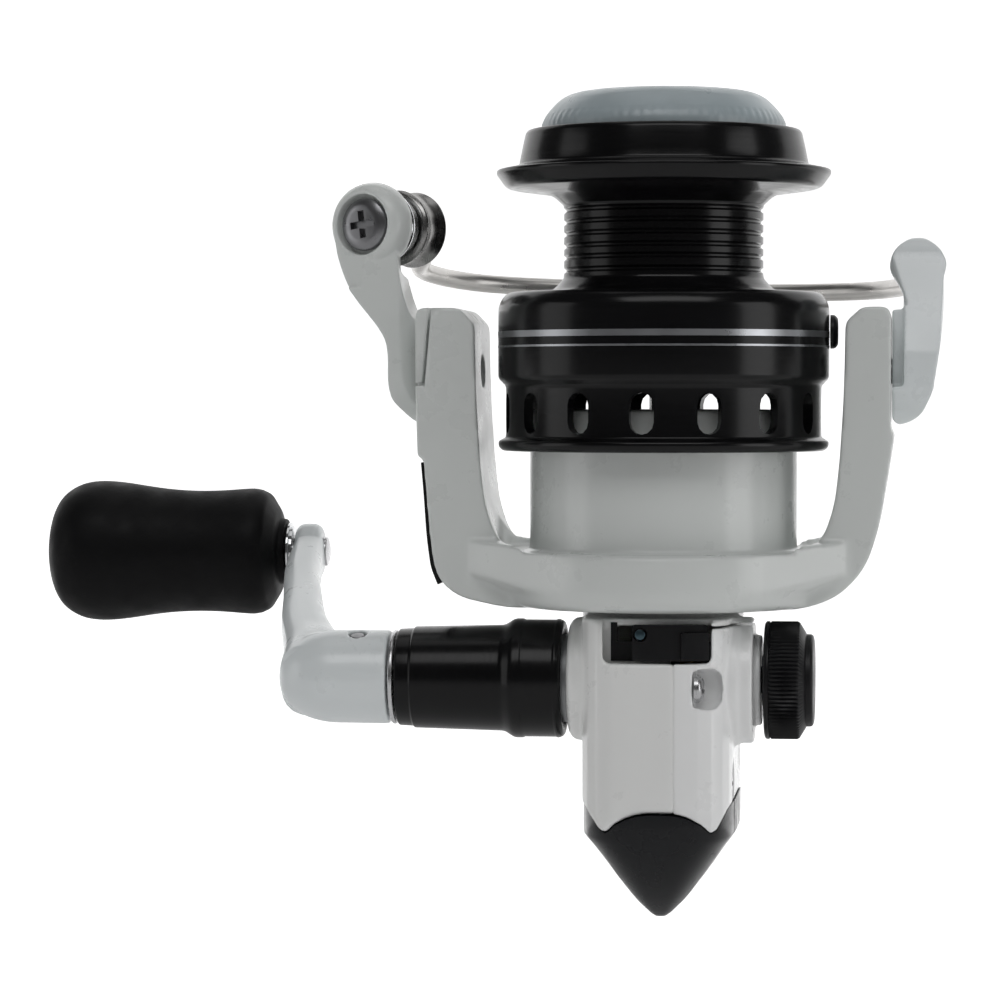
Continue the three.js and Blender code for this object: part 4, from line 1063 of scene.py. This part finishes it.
def make_handle():
    """What turns on the handle axis: flared sleeve, ring, shaft and the cap screw opposite."""
    sleeve = [
        (0, -37.0), (6.85, -37.0, 0.25), (6.95, -34.95, 0.15), (7.2, -34.7, 0.1), (7.52, -21.95, 0.5),
        (8.45, -20.5, 0.5), (8.45, -19.3, 0.15), (8.3, -19.0, 0.1), (8.3, -14.6, 0.1),
        (8.45, -14.3, 0.2), (8.1, -13.42, 0.4), (7.0, -13.42, 0.3), (6.6, -14.4, 0.2), (0, -14.4),
    ]
    place(
        on_drive("sleeve_shell", sleeve, 128),
        "handle",
        "black_anodised",
        SLEEVE_BLACK,
        ["handle_sleeve"],
        30,
    )
    ring = [(0, -37.9), (6.6, -37.9, 0.12), (6.7, -37.6, 0.1), (6.6, -37.3, 0.12), (0, -37.3)]
    place(on_drive("sleeve_ring", ring), "handle", "steel", STEEL_X, ["handle_ring"], 30)
    shaft = [(0, -13.98), (6.2, -13.98, 0.2), (6.2, -12.5, 0.1), (2.9, -12.5), (2.9, 13.2), (0, 13.2)]
    place(on_drive("drive_tube", shaft), "handle", "steel", ZINC, ["drive_shaft"], 30)
    cap = [
        (0, 6.2), (1.9, 6.2), (1.9, 14.82), (8.0, 14.82, 0.2), (8.28, 15.1), (8.28, 15.5),
        (8.05, 15.58), (8.28, 15.75), (8.28, 17.6), (8.28, 19.4), (8.05, 19.75), (6.75, 20.55, 0.2),
        (6.5, 20.65), (6.48, 21.5, 0.4), (5.8, 21.75, 0.4), (0, 21.9),
    ]
    place(
        on_drive("cap_screw_head", cap, 336, ripple=(84, 0.34, 15.7, 19.4)),
        "handle",
        "black_anodised",
        SATIN_BLACK,
        ["cap_screw"],
        50,
    )


def make_crank():
    """Curved crank with a lens-shaped pocket, its fold pin, and the knob's spindle and washer."""
    reach = math.hypot(KNOB_Y - DRIVE_Y, KNOB_Z)
    out = Vector((0, KNOB_Y - DRIVE_Y, KNOB_Z)) / reach
    across = Vector((0, -out.z, out.y))
    stations = [
        (-48.9, -2, 5.1, 5.5), (-49.6, 4, 4.85, 5.5), (-51.4, 10, 4.05, 4.95), (-53.6, 18, 3.45, 4.55),
        (-55.4, 28, 3.05, 4.15), (-57.2, 38, 2.75, 3.85), (-57.9, 47, 2.5, 3.6),
        (-57.95, 50.5, 2.45, 3.5),
    ]
    count = 40
    rings = []
    for x, far, half_x, half_side in smooth_path([Vector(s) for s in stations], 5):
        ring = []
        for i in range(count):
            a = 2 * math.pi * i / count
            c, s = math.cos(a), math.sin(a)
            p = Vector((x + half_x * math.copysign(abs(c) ** 0.72, c), DRIVE_Y, 0))
            p += out * far + across * (half_side * math.copysign(abs(s) ** 0.72, s))
            ring.append(p)
        rings.append(ring)
    arm = skinned("crank_shell", rings)
    shank = [
        (0, -54.35), (2.4, -54.05, 1), (4.2, -52.85, 1), (5.8, -50.5, 1.2), (6.6, -47.4, 1.5),
        (6.65, -38.25, 0.4), (0, -38.25),
    ]
    eye = [
        (0, -60.25), (3.5, -60.25, 0.8), (4.35, -59.4, 0.8), (4.35, -56.9, 0.8), (3.5, -56.05, 0.8),
        (0, -56.05),
    ]
    join(arm, on_drive("shank", shank, 72), on_knob("eye", eye, 64))
    # Lens-shaped pocket in the face that looks at the gear case.
    start, length, half_width = 13, 26, 1.9
    surface, slope, depth = -51.8, 0.13, 1.55
    shares = [k / 12 for k in range(13)]
    middle = [out * (start + length * t) for t in shares]
    bulge = [across * (half_width * math.sin(math.pi * t)) for t in shares]
    pocket = [m + b for m, b in zip(middle, bulge)]
    pocket += [m - b for m, b in zip(middle[-2:0:-1], bulge[-2:0:-1])]
    bm = bmesh.new()
    low = [bm.verts.new(Vector((surface - slope * p.dot(out) + depth, DRIVE_Y, 0)) + p) for p in pocket]
    high = [bm.verts.new(Vector((-40, DRIVE_Y, 0)) + p) for p in pocket]
    raised(bm, low, high)
    lens = object_from(bm, "lens")
    hole = lathe("hole", [(0, -20), (1.3, -20), (1.3, 20), (0, 20)], (FOLD_X, DRIVE_Y, 0), across, 24)
    cut(arm, on_knob("hole", [(0, -80), (2.0, -80), (2.0, -40), (0, -40)], 32), hole, lens)
    place(cast(arm, 0.24, 5, 0.42), "handle", "painted_metal", CRANK_PAINT, ["crank"], 0)
    pin = lathe(
        "fold_pin_body",
        [(0, -6.3), (1.05, -6.3, 0.2), (1.05, 6.3, 0.2), (0, 6.3)],
        (FOLD_X, DRIVE_Y, 0),
        across,
        32,
    )
    place(pin, "handle", "steel", DARK_STEEL, ["fold_pin"], 30)
    spindle = [
        (0, -95.6), (1.7, -95.6), (1.7, -55.7), (2.25, -55.7), (2.25, -55.35, 0.2), (1.2, -55.05, 0.4),
        (0, -55.0),
    ]
    place(on_knob("knob_rivet", spindle, 48), "handle", "steel", STEEL_X, ["knob_spindle"], 30)
    washer = [(2, -61.4), (4.5, -61.4, 0.1), (4.5, -61.0, 0.1), (3.9, -60.95), (3.9, -60.6), (2, -60.6)]
    place(
        on_knob("knob_collar", washer, 64, closed=True),
        "handle",
        "steel",
        CHROME,
        ["knob_washer"],
        30,
    )


def make_knob():
    """Rubber grip, fullest near its end and waisted towards the crank."""
    stations = [
        (0, -99.0), (2.6, -98.95), (5.0, -98.65), (7.2, -97.9), (8.8, -96.8), (9.9, -95.3),
        (10.6, -93.6), (10.9, -91.6), (10.88, -89.4), (10.6, -86.7), (10.15, -83.8), (9.75, -80.9),
        (9.5, -77.9), (9.42, -74.9), (9.5, -71.9), (9.7, -69.0), (9.8, -67.0), (9.6, -65.7),
    ]
    path = smooth_path([Vector(p) for p in stations], 3)
    profile = [tuple(p) for p in path] + [
        (9.0, -64.4, 0.5), (6.6, -62.9, 0.5), (5.2, -62.6, 0.2), (5.0, -61.7, 0.2), (2.1, -61.7),
        (2.1, -96.0), (0, -96.0),
    ]
    profile[0] = (0, -99.0)
    place(on_knob("knob_grip", profile, 112), "knob", "knob_rubber", RUBBER, ["knob"], 40)


make_handle()
make_crank()
make_knob()

# ------------------------------------------------------------------ pieces carried over from the CAD
CARRIED = {
    "rotor_nut": STEEL, "pinion": BRASS, "drive_gear": BRASS, "oscillation_pinion": BRASS,
    "oscillation_gear": ZINC, "slider": ZINC, "one_way_clutch": ZINC, "main_shaft": STEEL,
    "click_gear": SATIN_BLACK, "guide_rod": STEEL, "bearing_pinion": STEEL, "bearing_left": STEEL_X,
    "bearing_right": STEEL_X, "drag_washer_lower": FELT, "drag_washer_upper": FELT,
    "drag_washer_middle": STEEL, "drag_retainer": STEEL,
}
for node, mat in CARRIED.items():
    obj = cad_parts[node]
    for holder in obj.material_slots:
        holder.material = mat
